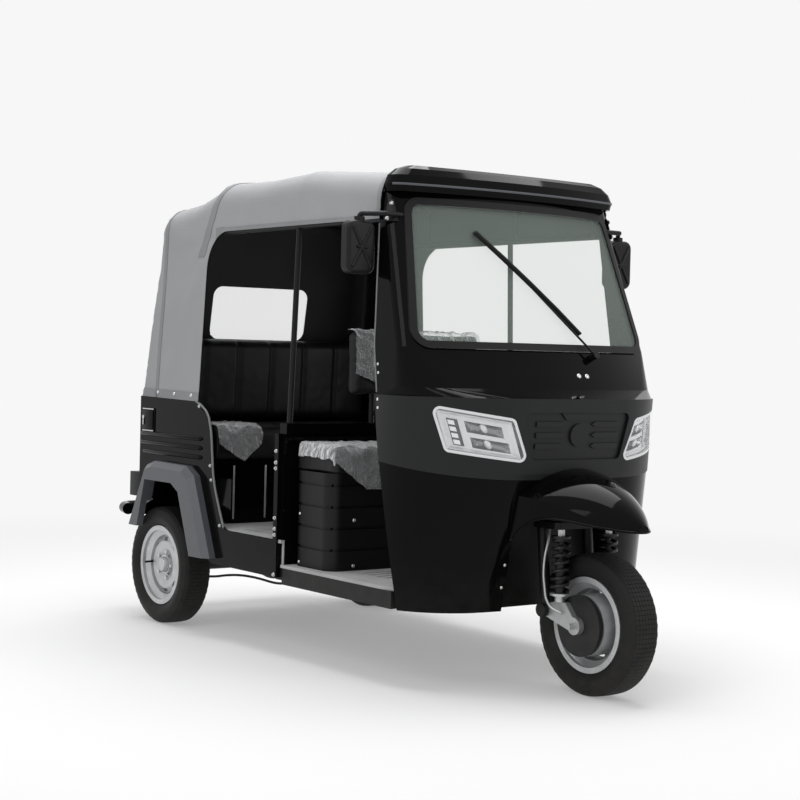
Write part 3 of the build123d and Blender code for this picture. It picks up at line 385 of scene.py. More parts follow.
# %% [markdown]
# ## Turning a mesh into a piece
# Each new piece is worked on as a bmesh and then becomes an object at the origin. It rides on one body of
# the vehicle, so that a wheel's nuts turn with the wheel, and names the finish that it shares.

# %% Helper that ends a piece


def make_piece(name, bm, finish, body="chassis", sharp=35):
    """Ends a bmesh: an object that rides on a body, with smooth shading between its sharp edges."""
    mesh = bpy.data.meshes.new(name)
    bm.to_mesh(mesh)
    bm.free()
    mesh.polygons.foreach_set("use_smooth", [True] * len(mesh.polygons))
    mesh.set_sharp_from_angle(angle=math.radians(sharp))
    piece = bpy.data.objects.new(name, mesh)
    bpy.context.scene.collection.objects.link(piece)
    mesh.materials.append(finishes[finish])
    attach(piece, body)
    return piece


# %% [markdown]
# Small hardware repeats a few shapes: rounded boxes, rods, bolts and studs. Each is one or two create
# operators with a matrix that sets place, size and direction at once, so many of them can go into one mesh.

# %% Small shapes
washer_thick = 0.0016


def placed(spot, facing):
    """A matrix that puts a shape made along Z at a spot, facing a direction."""
    return Matrix.Translation(spot) @ Vector(facing).to_track_quat("Z", "Y").to_matrix().to_4x4()


def round_off(bm, edges, width):
    """Gives edges a small round."""
    bmesh.ops.bevel(bm, geom=edges, offset=width, segments=3, profile=0.5, affect="EDGES", material=-1)


def add_box(bm, low, high, round_edges=0.0):
    """A box between two corners, with its edges rounded."""
    low, high = Vector(low), Vector(high)
    size = Matrix.Diagonal(high - low).to_4x4()
    made = bmesh.ops.create_cube(bm, size=1.0, matrix=Matrix.Translation((low + high) / 2) @ size)["verts"]
    if round_edges:
        round_off(bm, list(dict.fromkeys(edge for vert in made for edge in vert.link_edges)), round_edges)


def add_rod(bm, start, end, radius, segments=16):
    """A capped round bar between two points."""
    start, end = Vector(start), Vector(end)
    bmesh.ops.create_cone(bm, cap_ends=True, segments=segments, radius1=radius, radius2=radius,
                          depth=(end - start).length, matrix=placed((start + end) / 2, end - start))


def add_bolt(bm, spot, facing, radius=0.007, height=0.005):
    """A hexagon head on a washer."""
    facing = Vector(facing).normalized()
    spot = Vector(spot)
    bmesh.ops.create_cone(bm, cap_ends=True, segments=18, radius1=radius * 1.45, radius2=radius * 1.35,
                          depth=washer_thick, matrix=placed(spot + facing * washer_thick / 2, facing))
    bmesh.ops.create_cone(bm, cap_ends=True, segments=6, radius1=radius, radius2=radius * 0.9, depth=height,
                          matrix=placed(spot + facing * (washer_thick + height / 2), facing))


def add_stud(bm, spot, facing, radius):
    """A low round press stud or rivet head."""
    squash = Matrix.Diagonal((1, 1, 0.5, 1))
    bmesh.ops.create_uvsphere(bm, u_segments=14, v_segments=8, radius=radius,
                              matrix=placed(spot, facing) @ squash)


# %% [markdown]
# ## Canvas roof
# The real roof is one sewn cover pulled over steel bows and buttoned to the body. It could be draped by a
# simulation, but a tight cover hardly moves. So the outer side of the solid is kept as a single sheet, cut
# into an even net, relaxed, and then moved by a few millimetres: ridges over the bows, slack between them
# and pull lines that run from the corner of the doorway.

# %% Helpers that copy and cut a solid


def solid_copy(node):
    """A merged copy of a solid's triangles."""
    bm = bmesh.new()
    bm.from_mesh(solids[node].data)
    bmesh.ops.remove_doubles(bm, verts=bm.verts[:], dist=1e-5)
    return bm


def keep_outer(bm, core, reach):
    """Keeps a thin shell's outer faces: the other side is close behind them, and the core further in."""
    tree = BVHTree.FromBMesh(bm)
    spare = []
    for face in bm.faces:
        middle = face.calc_center_median()
        behind = tree.ray_cast(middle - face.normal * 0.0005, -face.normal, reach)[0]
        if behind is None or face.normal.dot(middle - core(middle)) <= 0:
            spare.append(face)
    bmesh.ops.delete(bm, geom=spare, context="FACES")


def all_of(bm):
    return bm.verts[:] + bm.edges[:] + bm.faces[:]


def cut_plane(bm, spot, facing, drop=True):
    """Cuts a mesh along a plane, and drops what lies on the side that the plane faces."""
    bmesh.ops.bisect_plane(bm, geom=all_of(bm), dist=1e-6, plane_co=spot, plane_no=facing, clear_outer=drop)


# %% [markdown]
# A solid arrives with long triangles, which can't bend. Cutting the sheet with planes at even steps gives
# it a net that can, but leaves slivers where a plane passes close to a corner. Slivers and folds would show
# as dark specks, so they are merged, or joined to their neighbours, before the net is relaxed.

# %% Helpers that make an even net
# what counts as too thin in a net, as a share of its step
thin_share = 0.15


def join_slivers(bm, width):
    """Joins each triangle thinner than a width to the face across its longest edge."""
    longest = []
    for face in bm.faces:
        edge = max(face.edges, key=lambda side: side.calc_length())
        thin = 2 * face.calc_area() < width * edge.calc_length()
        if thin and len(face.verts) == 3 and len(edge.link_faces) == 2:
            longest.append(edge)
    bmesh.ops.dissolve_edges(bm, edges=list(dict.fromkeys(longest)), use_verts=False)


def slice_evenly(bm, step):
    """Cuts a mesh along planes at even steps on all three axes, and mends the folds that merging leaves."""
    bmesh.ops.dissolve_limit(bm, angle_limit=0.01, verts=bm.verts[:], edges=bm.edges[:])
    for axis in range(3):
        values = [vert.co[axis] for vert in bm.verts]
        low, high = min(values), max(values)
        facing = Vector([float(place == axis) for place in range(3)])
        for count in range(1, int((high - low) / step) + 1):
            cut_plane(bm, facing * (low + count * step), facing, drop=False)
    bmesh.ops.remove_doubles(bm, verts=bm.verts[:], dist=step * thin_share)
    for _ in range(3):
        crowded = [edge for edge in bm.edges if len(edge.link_faces) > 2]
        folds = dict.fromkeys(min(edge.link_faces, key=lambda face: face.calc_area()) for edge in crowded)
        bmesh.ops.delete(bm, geom=list(folds), context="FACES")
        bmesh.ops.holes_fill(bm, edges=[edge for edge in bm.edges if edge.is_boundary], sides=6)
    bmesh.ops.delete(bm, geom=[edge for edge in bm.edges if edge.is_wire], context="EDGES")
    bmesh.ops.delete(bm, geom=[vert for vert in bm.verts if not vert.link_faces], context="VERTS")
    join_slivers(bm, step * thin_share)


def relax(bm, verts, factor, passes=1):
    """Evens a net out by moving verts towards their neighbours."""
    for _ in range(passes):
        bmesh.ops.smooth_vert(bm, verts=verts, factor=factor, use_axis_x=True, use_axis_y=True,
                              use_axis_z=True)


# %% [markdown]
# How far the canvas stands off its even shape is a sum of simple parts. A bell curve at each bow gives a
# ridge, slow noise gives slack, noise stretched along the vehicle's width gives ripples, and a sine of the
# angle round the doorway's corner gives pull lines that fade with distance.

# %% The canvas
bows = [0.48, 0.014, -0.589, -1.012]
ridge_width = 0.028
canvas_step = 0.028
canvas_sliver = 0.08 * canvas_step
canvas_reach = 0.012


def ease(low, high, value):
    """Rises smoothly from 0 to 1 between two values."""
    share = min(1.0, max(0.0, (value - low) / (high - low)))
    return share * share * (3 - 2 * share)


def face_area(bm):
    return sum(face.calc_area() for face in bm.faces)


def canvas_core(spot):
    """The cabin's middle line, which stops short of the rear wall."""
    return Vector((max(spot.x, -0.75), 0, 1.3))


def canvas_slack(spot):
    """How far the canvas stands off its even shape."""
    roof = ease(1.62, 1.76, spot.z)
    ridge = sum(math.exp(-((spot.x - bow) / ridge_width) ** 2) for bow in bows)
    slow = noise.noise(spot * 3.5)
    ripple = noise.noise(Vector((spot.x * 20, spot.y * 3, spot.z * 4)))
    corner = Vector((spot.x + 0.64, 0, spot.z - 1.6))
    pull = math.exp(-(corner.length / 0.24) ** 2) * math.sin(11 * math.atan2(corner.z, corner.x))
    return 0.004 * roof * ridge + 0.0035 * slow + 0.002 * ripple + 0.004 * pull * (1 - roof)


bm = solid_copy("canopy")
keep_outer(bm, canvas_core, canvas_reach)
slice_evenly(bm, canvas_step)
free = [vert for vert in bm.verts if not vert.is_boundary]
relax(bm, free, 0.5, passes=4)
bm.normal_update()
shifts = [(vert, vert.normal * canvas_slack(vert.co)) for vert in free]
for vert, shift in shifts:
    vert.co += shift
relax(bm, free, 0.4)
join_slivers(bm, canvas_sliver)
canvas_area = face_area(bm)
canvas_tree = BVHTree.FromBMesh(bm)
canvas_cover = make_piece("canvas_cover", bm, "canvas", sharp=60)
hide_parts("canopy")
print("canvas area", round(canvas_area, 3), "faces", len(canvas_cover.data.polygons))

# %% [markdown]
# Hems and seams are a second layer of the same canvas. A copy of the cover is cut down to a strip between
# planes, lifted by its own thickness and made solid. That way every strip follows the folds below it.

# %% Hems and seams
strip_thick = 0.0022
# name: planes that cut the strip free, as a point and the side to drop
strips = {
    "canvas_hem": [((-0.5, 0, 0.982), (0.016, 0, 1))],
    "canvas_rear_seam": [((-1.0, 0, 0), (1, 0, 0)), ((-1.024, 0, 0), (-1, 0, 0))],
    "canvas_bow_band": [((-0.555, 0, 1.83), (0.27, 0, -0.12)), ((-0.605, 0, 1.83), (-0.27, 0, 0.12)),
                        ((0, 0, 1.54), (0, 0, -1))],
    "canvas_front_binding": [((0.506, 0, 0), (-1, 0, 0))],
    "canvas_door_binding": [((0, 0, 1.654), (0, 0, 1)), ((-0.6, 0, 0), (-1, 0, 0))],
}


def swell(bm, distance):
    """Moves every vert along its normal."""
    bm.normal_update()
    for vert in bm.verts:
        vert.co += vert.normal * distance


for name, planes in strips.items():
    bm = bmesh.new()
    bm.from_mesh(canvas_cover.data)
    for spot, facing in planes:
        cut_plane(bm, spot, facing)
    swell(bm, strip_thick)
    bmesh.ops.solidify(bm, geom=bm.faces[:], thickness=strip_thick)
    bmesh.ops.recalc_face_normals(bm, faces=bm.faces[:])
    make_piece(name, bm, "seam_thread", sharp=50)

# %% [markdown]
# Seen from the seats the roof is dark, and that dark is painted shade: a dark sheet, one more copy of the
# cover moved inwards and turned to face the cabin, stands in for the shade under the canvas. Press studs hold
# the hem to the body, and a ray cast from outside finds the spot on the canvas where each one sits.

# %% Painted shade sheet and press studs
shade_sheet_gap = 0.0045
stud_radius, stud_rise = 0.008, 0.003

# painted shade: a dark sheet inside the roof stands in for the shade under the canvas
bm = bmesh.new()
bm.from_mesh(canvas_cover.data)
swell(bm, -shade_sheet_gap)
bmesh.ops.reverse_faces(bm, faces=bm.faces[:])
make_piece("canvas_liner", bm, "seat_cover", sharp=60)


def stud_on_canvas(bm, spot, facing):
    """A press stud where a line from a spot outside first meets the canvas."""
    out = Vector(facing)
    found = canvas_tree.ray_cast(Vector(spot), -out)[0]
    if found:
        add_stud(bm, found + out * stud_rise, out, stud_radius)


bm = bmesh.new()
for x in (-1.14, -1.0, -0.86, -0.72):
    for side in (-1, 1):
        stud_on_canvas(bm, (x, side, 0.968 - 0.016 * (x + 0.5)), (0, side, 0))
for y in (-0.4, -0.2, 0, 0.2, 0.4):
    stud_on_canvas(bm, (-2, y, 0.98), (-1, 0, 0))
make_piece("canvas_studs", bm, "zinc")

# %% [markdown]
# The rear window is a sheet of clear film sewn into the canvas. It takes the same steps with a finer net,
# and a slow wave of a millimetre or two, because soft film never lies quite flat.

# %% Window film
film_step, film_reach, film_wave = 0.02, 0.006, 0.002
bm = solid_copy("rear_window")
keep_outer(bm, canvas_core, film_reach)
slice_evenly(bm, film_step)
bm.normal_update()
for vert in bm.verts:
    if not vert.is_boundary:
        vert.co += vert.normal * film_wave * noise.noise(vert.co * 9)
film_area = face_area(bm)
window_film = make_piece("window_film", bm, "clear_film")
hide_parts("rear_window")
print("window film area", round(film_area, 4))

# %% [markdown]
# ## Stuffed seats
# A seat is foam in a sewn vinyl cover. The cover is made by remeshing a copy of the solid to an even net,
# and a cloth simulation with a little pressure inside rounds it as foam would. Each point is held within a
# few millimetres of its start, so the seat keeps its size.

# %% Helpers for stuffing
puff_frames = 20
puff_cap = 0.006


def evaluated(piece):
    """The mesh of an object with its modifiers applied."""
    return bpy.data.meshes.new_from_object(piece.evaluated_get(bpy.context.evaluated_depsgraph_get()))


def puff(piece):
    """Blows up a closed cover with cloth simulation, and holds each point near its start."""
    start = [vert.co.copy() for vert in piece.data.vertices]
    cloth = piece.modifiers.new("cloth", "CLOTH")
    cloth.settings.use_pressure = True
    cloth.settings.uniform_pressure_force = 4
    cloth.settings.effector_weights.gravity = 0
    cloth.settings.quality = 4
    cloth.point_cache.frame_start, cloth.point_cache.frame_end = 1, puff_frames
    for step in range(1, puff_frames + 1):
        bpy.context.scene.frame_set(step)
    blown = evaluated(piece)
    piece.modifiers.remove(cloth)
    bpy.context.scene.frame_set(1)
    for vert, old, new in zip(piece.data.vertices, start, blown.vertices):
        move = new.co - old
        vert.co = old + move * min(1.0, puff_cap / max(move.length, 1e-9))


# %% [markdown]
# Stitched channels are lines where thread pulls the vinyl down into the foam. Each is a bell curve along
# one axis, pressed in only on the side of the seat that shows. Noise at two sizes adds the creases of use.


def make_stuffed(name, bm, node, lines, show, voxel=0.008):
    """A stuffed cover from a closed mesh; lines are (axis, value, width, depth) of stitched channels."""
    low = min(vert.co.z for vert in bm.verts)
    piece = make_piece(name, bm, "seat_cover", sharp=180)
    remesh = piece.modifiers.new("net", "REMESH")
    remesh.mode, remesh.voxel_size = "VOXEL", voxel
    net = evaluated(piece)
    piece.modifiers.remove(remesh)
    piece.data = net
    puff(piece)
    bm = bmesh.new()
    bm.from_mesh(piece.data)
    relax(bm, bm.verts[:], 0.5)
    bm.normal_update()
    facing = Vector(show)
    moves = []
    for vert in bm.verts:
        depth = sum(sink * math.exp(-((vert.co[axis] - value) / width) ** 2)
                    for axis, value, width, sink in lines)
        crease = 0.0012 * noise.noise(vert.co * 30) + 0.002 * noise.noise(vert.co * 9)
        moves.append((vert, vert.normal * (depth * max(0.0, vert.normal.dot(facing)) + crease)))
    for vert, move in moves:
        vert.co += move
        vert.co.z = max(vert.co.z, low)
    bm.to_mesh(piece.data)
    bm.free()
    piece.data.polygons.foreach_set("use_smooth", [True] * len(piece.data.polygons))
    finer = piece.modifiers.new("finer", "SUBSURF")
    finer.levels = finer.render_levels = 1
    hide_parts(node)
    return piece


# %% [markdown]
# Three of the four covers start from a copy of their solid. The driver's back starts from a rounded box
# instead, because its solid also holds the two stays, and those are hard tubes.

# %% The seats
top, front = (0, 0, 1), (1, 0, 0)
cushion_lines = [(1, y, 0.007, -0.009) for y in (-0.26, 0, 0.26)] + [(0, 0.2, 0.007, -0.006)]
driver_cushion = make_stuffed("driver_cushion", solid_copy("driver_seat_cushion"), "driver_seat_cushion",
                              cushion_lines, top)
bm = bmesh.new()
add_box(bm, (0, -0.311, 1.0), (0.055, 0.311, 1.245), 0.02)
rest_lines = [(1, 0, 0.007, -0.007), (2, 1.13, 0.007, -0.006)]
driver_back = make_stuffed("driver_back_pad", bm, "driver_seat_back", rest_lines, front, voxel=0.006)
bm = bmesh.new()
for y in (-0.18, 0.18):
    add_rod(bm, (-0.004, y, 0.8903), (-0.004, y, 1.2), 0.011)
    add_bolt(bm, (0.008, y, 0.93), front)
make_piece("driver_back_stays", bm, "black_plastic")
bench_lines = [(1, y, 0.009, -0.012) for y in (-0.17, 0.17)] + [(0, -0.7, 0.008, -0.008)]
bench_seat = make_stuffed("bench_seat", solid_copy("bench_cushion"), "bench_cushion", bench_lines, top)
back_lines = [(1, y, 0.009, -0.01) for y in (-0.34, -0.17, 0, 0.17, 0.34)]
bench_back_pad = make_stuffed("bench_back_pad", solid_copy("bench_back"), "bench_back", back_lines, front)
print("stuffed pieces:", driver_cushion.name, driver_back.name, bench_seat.name, bench_back_pad.name)

# %% [markdown]
# ## Loose film on the seats
# The seats still wear the clear film that they were delivered in. Each film starts as a flat grid, is cut
# to its outline with planes, and is then laid along a path that runs over the seat and bends down its
# front. Bending along a path keeps the film's real area, which free stretching would not.

# %% Path of a film
film_bend = math.radians(-88)


def walk(start, legs, distance):
    """A point and its outward direction on a path of (length, turn) legs, seen from the side."""
    x, z = start
    heading = 0.0
    for length, bend in legs:
        part = min(length, distance)
        pieces = 12 if bend else 1
        for _ in range(pieces):
            turned = bend / length * part / pieces
            x += math.cos(heading + turned / 2) * part / pieces
            z += math.sin(heading + turned / 2) * part / pieces
            heading += turned
        distance -= part
        if distance <= 0:
            break
    return x, z, Vector((-math.sin(heading), 0, math.cos(heading)))


# %% [markdown]
# Film creases in sharp ridges, not in soft waves. Noise folded at its middle, as one less its absolute value,
# gives such ridges, and a power makes them narrow. The crumple takes up some film; the share is worked out
# from the area before and after, and nothing uses it further.

# %% Films
film_grid = 0.009
film_crumple = 0.013


def crumpled(along, across):
    """Sharp ridges of film, from folded noise at two sizes."""
    wide = 1 - abs(noise.noise(Vector((along * 21, across * 15, 3))))
    fine = 1 - abs(noise.noise(Vector((along * 47, across * 39, 8))))
    return 0.7 * wide ** 3 + 0.3 * fine ** 3


def make_film(name, start, legs, y_range, cuts, end_y=None):
    """A film laid along a path; cuts are (point, side to drop) in the flat (along, across) plane.

    Past end_y, the end of the seat, the film stands off a little and hangs down.
    """
    reach = sum(length for length, bend in legs)
    width, middle = y_range[1] - y_range[0], sum(y_range) / 2
    bm = bmesh.new()
    flat = Matrix.Translation((reach / 2, middle, 0)) @ Matrix.Diagonal((reach / 2, width / 2, 1, 1))
    bmesh.ops.create_grid(bm, x_segments=int(reach / film_grid), y_segments=int(width / film_grid), size=1,
                          matrix=flat)
    for spot, facing in cuts:
        cut_plane(bm, (*spot, 0), (*facing, 0))
    area = face_area(bm)
    for vert in bm.verts:
        along, across = vert.co.x, vert.co.y
        x, z, outward = walk(start, legs, along)
        spot = Vector((x, across, z)) + outward * film_crumple * crumpled(along, across)
        if end_y is not None and across < end_y:
            over = end_y - across
            spot.y = end_y - 0.026 * (1 - math.exp(-over / 0.02))
            spot.z -= max(0.0, over - 0.016)
        vert.co = spot
    taken_up = math.sqrt(face_area(bm) / area)
    film = make_piece(name, bm, "loose_film", sharp=20)
    return film


films = [
    make_film("cushion_film", (0.0185, 0.813), [(0.2, 0), (0.05, film_bend), (0.125, 0)], (-0.57, 0.5),
              [((0.3735, -0.385), (0.145, -0.105))], end_y=-0.505),
    make_film("bench_film", (-0.8515, 0.85), [(0.2, 0), (0.06, film_bend), (0.105, 0)], (-0.51, -0.3),
              [((0.362, -0.4), (0.11, -0.07)), ((0.362, -0.385), (0.085, 0.07))]),
    make_film("back_film", (0.008, 1.247), [(0.03, 0), (0.036, film_bend), (0.18, 0)], (-0.312, 0.3),
              [((0.246, -0.2), (0.11, -0.04))]),
]
print("films:", [film.name for film in films])

# %% [markdown]
# ## Tyres
# A tyre is moulded, so it is the same all the way round: half a profile, mirrored and spun about the axle.
# The spin's faces are then a ready grid for tread. Insetting single faces of the crown bands with a small
# height gives blocks with grooves between them, and every other face of the shoulder becomes a lug.

# %% Helper for tyres
tyre_steps = 96
# half profile from bead to crown: radius, offset from the wheel's middle plane
tyre_profile = [(0.153, 0.0462), (0.166, 0.0467), (0.178, 0.0575), (0.192, 0.0645), (0.2065, 0.0672),
                (0.214, 0.0668), (0.222, 0.0628), (0.2285, 0.0612), (0.238, 0.0545), (0.2425, 0.047),
                (0.2437, 0.034), (0.2443, 0.02), (0.2445, 0.0065)]
lug_bands = (0.226, 0.240)
block_bands = (0.2425, 0.2447)


def make_tyre(name, node, body, centre):
    """Spins the profile round the axle and raises the tread."""
    bm = bmesh.new()
    middle = Vector(centre)
    points = tyre_profile + [(radius, -offset) for radius, offset in reversed(tyre_profile)]
    verts = [bm.verts.new(middle + Vector((radius, offset, 0))) for radius, offset in points]
    chain = [bm.edges.new(pair) for pair in zip(verts, verts[1:])]
    bmesh.ops.spin(bm, geom=verts + chain, cent=centre, axis=(0, 1, 0), dvec=(0, 0, 0), angle=math.tau,
                   steps=tyre_steps, use_merge=True)
    bmesh.ops.remove_doubles(bm, verts=bm.verts[:], dist=1e-5)
    bmesh.ops.recalc_face_normals(bm, faces=bm.faces[:])
    if sum(face.normal.dot(face.calc_center_median() - middle) for face in bm.faces) < 0:
        bmesh.ops.reverse_faces(bm, faces=bm.faces[:])
    blocks, lugs = [], []
    for face in bm.faces:
        spot = face.calc_center_median() - middle
        radius = math.hypot(spot.x, spot.z)
        step = round(math.atan2(spot.z, spot.x) / math.tau * tyre_steps - 0.5)
        if block_bands[0] <= radius <= block_bands[1]:
            blocks.append(face)
        elif lug_bands[0] < radius < lug_bands[1] and step % 2:
            lugs.append(face)
    bmesh.ops.inset_individual(bm, faces=blocks, thickness=0.0011, depth=0.0018)
    bmesh.ops.inset_individual(bm, faces=lugs, thickness=0.0012, depth=0.0009)
    piece = make_piece(name, bm, "tyre", body, sharp=30)
    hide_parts(node)
    return piece


# %% The three tyres
# name: body, tyre's solid, wheel's centre, side that faces out
wheels = {
    "front": ("front_wheel", "front_tyre", (1.115, 0, 0.247), 1),
    "rear_right": ("rear_wheel_right", "rear_tyre_right", (-0.965, -0.524, 0.247), -1),
    "rear_left": ("rear_wheel_left", "rear_tyre_left", (-0.965, 0.524, 0.247), 1),
}
for name, (body, node, centre, side) in wheels.items():
    tread = make_tyre(f"{name}_tread", node, body, centre)
    print(tread.name, len(tread.data.polygons), "faces")

# %% [markdown]
# Wheels are pressed steel, which the solids already show. The fixings are added: five nuts on a circle, a
# rubber valve in the barrel and, on the rear wheels, a pressed cap over the hub.

# %% Wheel fixings
nut_count, nut_circle = 5, 0.056
for name, (body, node, centre, side) in wheels.items():
    middle, out = Vector(centre), Vector((0, side, 0))
    bm = bmesh.new()
    nut_face = 0.0335 if name == "front" else 0.0195
    for nut in range(nut_count):
        angle = math.tau * nut / nut_count
        away = Vector((math.cos(angle), 0, math.sin(angle)))
        add_bolt(bm, middle + out * nut_face + away * nut_circle, out, 0.0085, 0.011)
    make_piece(f"{name}_wheel_nuts", bm, "zinc", body)
    if name != "front":
        bm = bmesh.new()
        bmesh.ops.create_cone(bm, cap_ends=True, segments=32, radius1=0.034, radius2=0.027, depth=0.02,
                              matrix=placed(middle + out * 0.036, out))
        round_off(bm, [edge for edge in bm.edges if edge.calc_face_angle(0) > 0.5], 0.003)
        make_piece(f"{name}_hub_cap", bm, "wheel_silver", body)
    bm = bmesh.new()
    foot = middle + out * 0.01 + Vector((-0.1215, 0, 0))
    add_rod(bm, foot, foot + out * 0.048 + Vector((0.01, 0, 0)), 0.0045)
    make_piece(f"{name}_valve", bm, "rubber", body)
print("fixings on", len(wheels), "wheels")

# %% [markdown]
# ## Headlamps
# Behind each clear lens is a bright bezel with two deep reflectors, and a stack of four light blocks on a
# dark bed. They are easier to draw flat: a grid over the lamp's four-sided outline, from its outer edge to
# its inner one. The flat work is then bent round the nose, whose corner is an arc, and mirrored.

# %% Helpers for the lamps
lamp_quad = {"outer_top": (-0.155, 0.078), "inner_top": (0.117, 0.038),
             "inner_low": (0.166, -0.09), "outer_low": (-0.105, -0.054)}
nose_arc_x, nose_arc_y, nose_arc_radius = 0.5994, -0.19, 0.39
nose_lean = 0.085
lamp_angle = math.radians(-32.4)
lamp_height = 0.9


def bend_to_nose(bm):
    """Moves verts from (across, down, depth) on the flat lamp to their place on the nose."""
    for vert in bm.verts:
        u, v, depth = vert.co
        upper = Vector(lamp_quad["outer_top"]).lerp(Vector(lamp_quad["inner_top"]), u)
        lower = Vector(lamp_quad["outer_low"]).lerp(Vector(lamp_quad["inner_low"]), u)
        flat = upper.lerp(lower, v)
        angle = lamp_angle + math.asin(flat.x / nose_arc_radius)
        radius = nose_arc_radius + depth
        vert.co = Vector((nose_arc_x + nose_lean * flat.y + radius * math.cos(angle),
                          nose_arc_y + radius * math.sin(angle), lamp_height + flat.y))


def mirrored(bm):
    """Adds the twin on the other side of the vehicle."""
    twin = bmesh.ops.duplicate(bm, geom=all_of(bm))["geom"]
    bmesh.ops.scale(bm, vec=(1, -1, 1), verts=[item for item in twin if isinstance(item, bmesh.types.BMVert)])
    bmesh.ops.reverse_faces(bm, faces=[item for item in twin if isinstance(item, bmesh.types.BMFace)])


def unit_grid(bm, u0, u1, v0, v1, columns, rows):
    """A flat grid over part of the lamp, in (across, down)."""
    shift = Matrix.Translation(((u0 + u1) / 2, (v0 + v1) / 2, 0))
    size = Matrix.Diagonal(((u1 - u0) / 2, (v1 - v0) / 2, 1, 1))
    made = bmesh.ops.create_grid(bm, x_segments=columns, y_segments=rows, size=1, matrix=shift @ size)
    return made["verts"]


def make_lamp_piece(name, bm, finish, sharp=35):
    """Ends a flat lamp mesh: bent round the nose, with its twin."""
    bend_to_nose(bm)
    mirrored(bm)
    make_piece(name, bm, finish, sharp=sharp)


# %% [markdown]
# The bezel is a bright moulding: a fine grid with the reflectors' openings deleted, and its rim raised
# towards the lens. Each reflector is a grid over its opening, pushed back by a formula that is zero along
# the edges, so that it closes the opening exactly.

# %% Bezels and reflectors
bezel_depth, bezel_rise, bezel_rim = 0.026, 0.014, 0.09
bowl_depth = 0.023
# from and to across, from and to down
reflectors = [(0.34, 0.86, 0.18, 0.48), (0.36, 0.9, 0.6, 0.88)]

bm = bmesh.new()
unit_grid(bm, 0, 1, 0, 1, 50, 50)
holes = []
for face in bm.faces:
    spot = face.calc_center_median()
    if any(u0 < spot.x < u1 and v0 < spot.y < v1 for u0, u1, v0, v1 in reflectors):
        holes.append(face)
bmesh.ops.delete(bm, geom=holes, context="FACES")
for vert in bm.verts:
    edge = min(vert.co.x, 1 - vert.co.x, vert.co.y, 1 - vert.co.y)
    vert.co.z = -bezel_depth + bezel_rise * (1 - ease(0.0, bezel_rim, edge))
make_lamp_piece("lamp_bezels", bm, "lamp_bowl", sharp=60)

bm = bmesh.new()
for u0, u1, v0, v1 in reflectors:
    for vert in unit_grid(bm, u0, u1, v0, v1, 16, 10):
        across = (2 * vert.co.x - u0 - u1) / (u1 - u0)
        down = (2 * vert.co.y - v0 - v1) / (v1 - v0)
        vert.co.z = -bezel_depth - bowl_depth * (1 - across ** 4) * (1 - down ** 4)
make_lamp_piece("lamp_reflectors", bm, "reflector", sharp=80)
print("bezels with", len(reflectors), "reflectors on each side")

# %% [markdown]
# The light blocks stand on a dark bed, which makes the four bright faces stand apart. A block is a small
# grid, extruded once. The bulbs are spheres, squashed flat in front of the reflectors' backs.

# %% Light blocks and bulbs
bed, bed_depth = (0.1, 0.25, 0.18, 0.88), 0.0245
blocks_u = (0.12, 0.205)
blocks_v = [(0.22, 0.335), (0.39, 0.505), (0.56, 0.675), (0.73, 0.845)]
block_back, block_front = 0.027, 0.012
bulb_spots, bulb_depth, bulb_size = [(0.6, 0.3), (0.6, 0.72)], 0.036, (0.055, 0.13, 0.011, 1)

bm = bmesh.new()
for vert in unit_grid(bm, *bed, 6, 20):
    vert.co.z = -bed_depth
make_lamp_piece("lamp_block_beds", bm, "black_plastic")

bm = bmesh.new()
for v0, v1 in blocks_v:
    grid = unit_grid(bm, *blocks_u, v0, v1, 3, 3)
    faces = list(dict.fromkeys(face for vert in grid for face in vert.link_faces))
    raised = bmesh.ops.extrude_face_region(bm, geom=faces)["geom"]
    raised = [item for item in raised if isinstance(item, bmesh.types.BMVert)]
    for vert in grid:
        vert.co.z = -block_back
    for vert in raised:
        vert.co.z = -block_front
make_lamp_piece("lamp_blocks", bm, "mirror_silver", sharp=30)

bm = bmesh.new()
for u, v in bulb_spots:
    shape = Matrix.Translation((u, v, -bulb_depth)) @ Matrix.Diagonal(bulb_size)
    bmesh.ops.create_uvsphere(bm, u_segments=20, v_segments=12, radius=1, matrix=shape)
make_lamp_piece("lamp_bulbs", bm, "lamp_bowl", sharp=60)
print("light blocks", len(blocks_v), "and bulbs", len(bulb_spots), "on each side")

# %% [markdown]
# ## Front springs
# The solids show each spring as stacked rings. Here the wire is a real helix: a small circle spun about the
# damper's axis while it climbs, which the spin operator does with its dvec. The damper body, its lower
# collar and the top nut are turned shapes.

# %% Springs and dampers
spring_turns, spring_radius, wire_radius = 7, 0.0285, 0.0058
spring_low, spring_high = 0.357, 0.541
spring_steps = 26
damper_x, damper_y = 1.042, 0.112
bm = bmesh.new()
for side in (-1, 1):
    axis = Vector((damper_x, side * damper_y, 0))
    start = placed(axis + Vector((spring_radius, 0, spring_low)), (0, 1, 0))
    ring = bmesh.ops.create_circle(bm, segments=8, radius=wire_radius, matrix=start)["verts"]
    ring += list(dict.fromkeys(edge for vert in ring for edge in vert.link_edges))
    steps = spring_turns * spring_steps
    bmesh.ops.spin(bm, geom=ring, cent=axis, axis=(0, 0, 1), dvec=(0, 0, (spring_high - spring_low) / steps),
                   angle=math.tau * spring_turns, steps=steps)
bmesh.ops.recalc_face_normals(bm, faces=bm.faces[:])
springs = make_piece("front_coils", bm, "steel", "steering")
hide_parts("front_shocks")
black, bright = bmesh.new(), bmesh.new()
for side in (-1, 1):
    x, y = damper_x, side * damper_y
    add_rod(black, (x, y, 0.35), (x, y, 0.47), 0.0175, 24)
    add_rod(black, (x, y, 0.47), (x, y, 0.545), 0.008, 20)
    add_rod(black, (x, y, 0.541), (x, y, 0.55), 0.034, 28)
    add_rod(bright, (x, y, 0.3225), (x, y, 0.346), 0.017, 24)
    add_rod(bright, (x, y, 0.344), (x, y, 0.352), 0.034, 28)
    add_rod(bright, (x, y, 0.55), (x, y, 0.5715), 0.0135, 6)
make_piece("front_dampers", black, "steel", "steering")
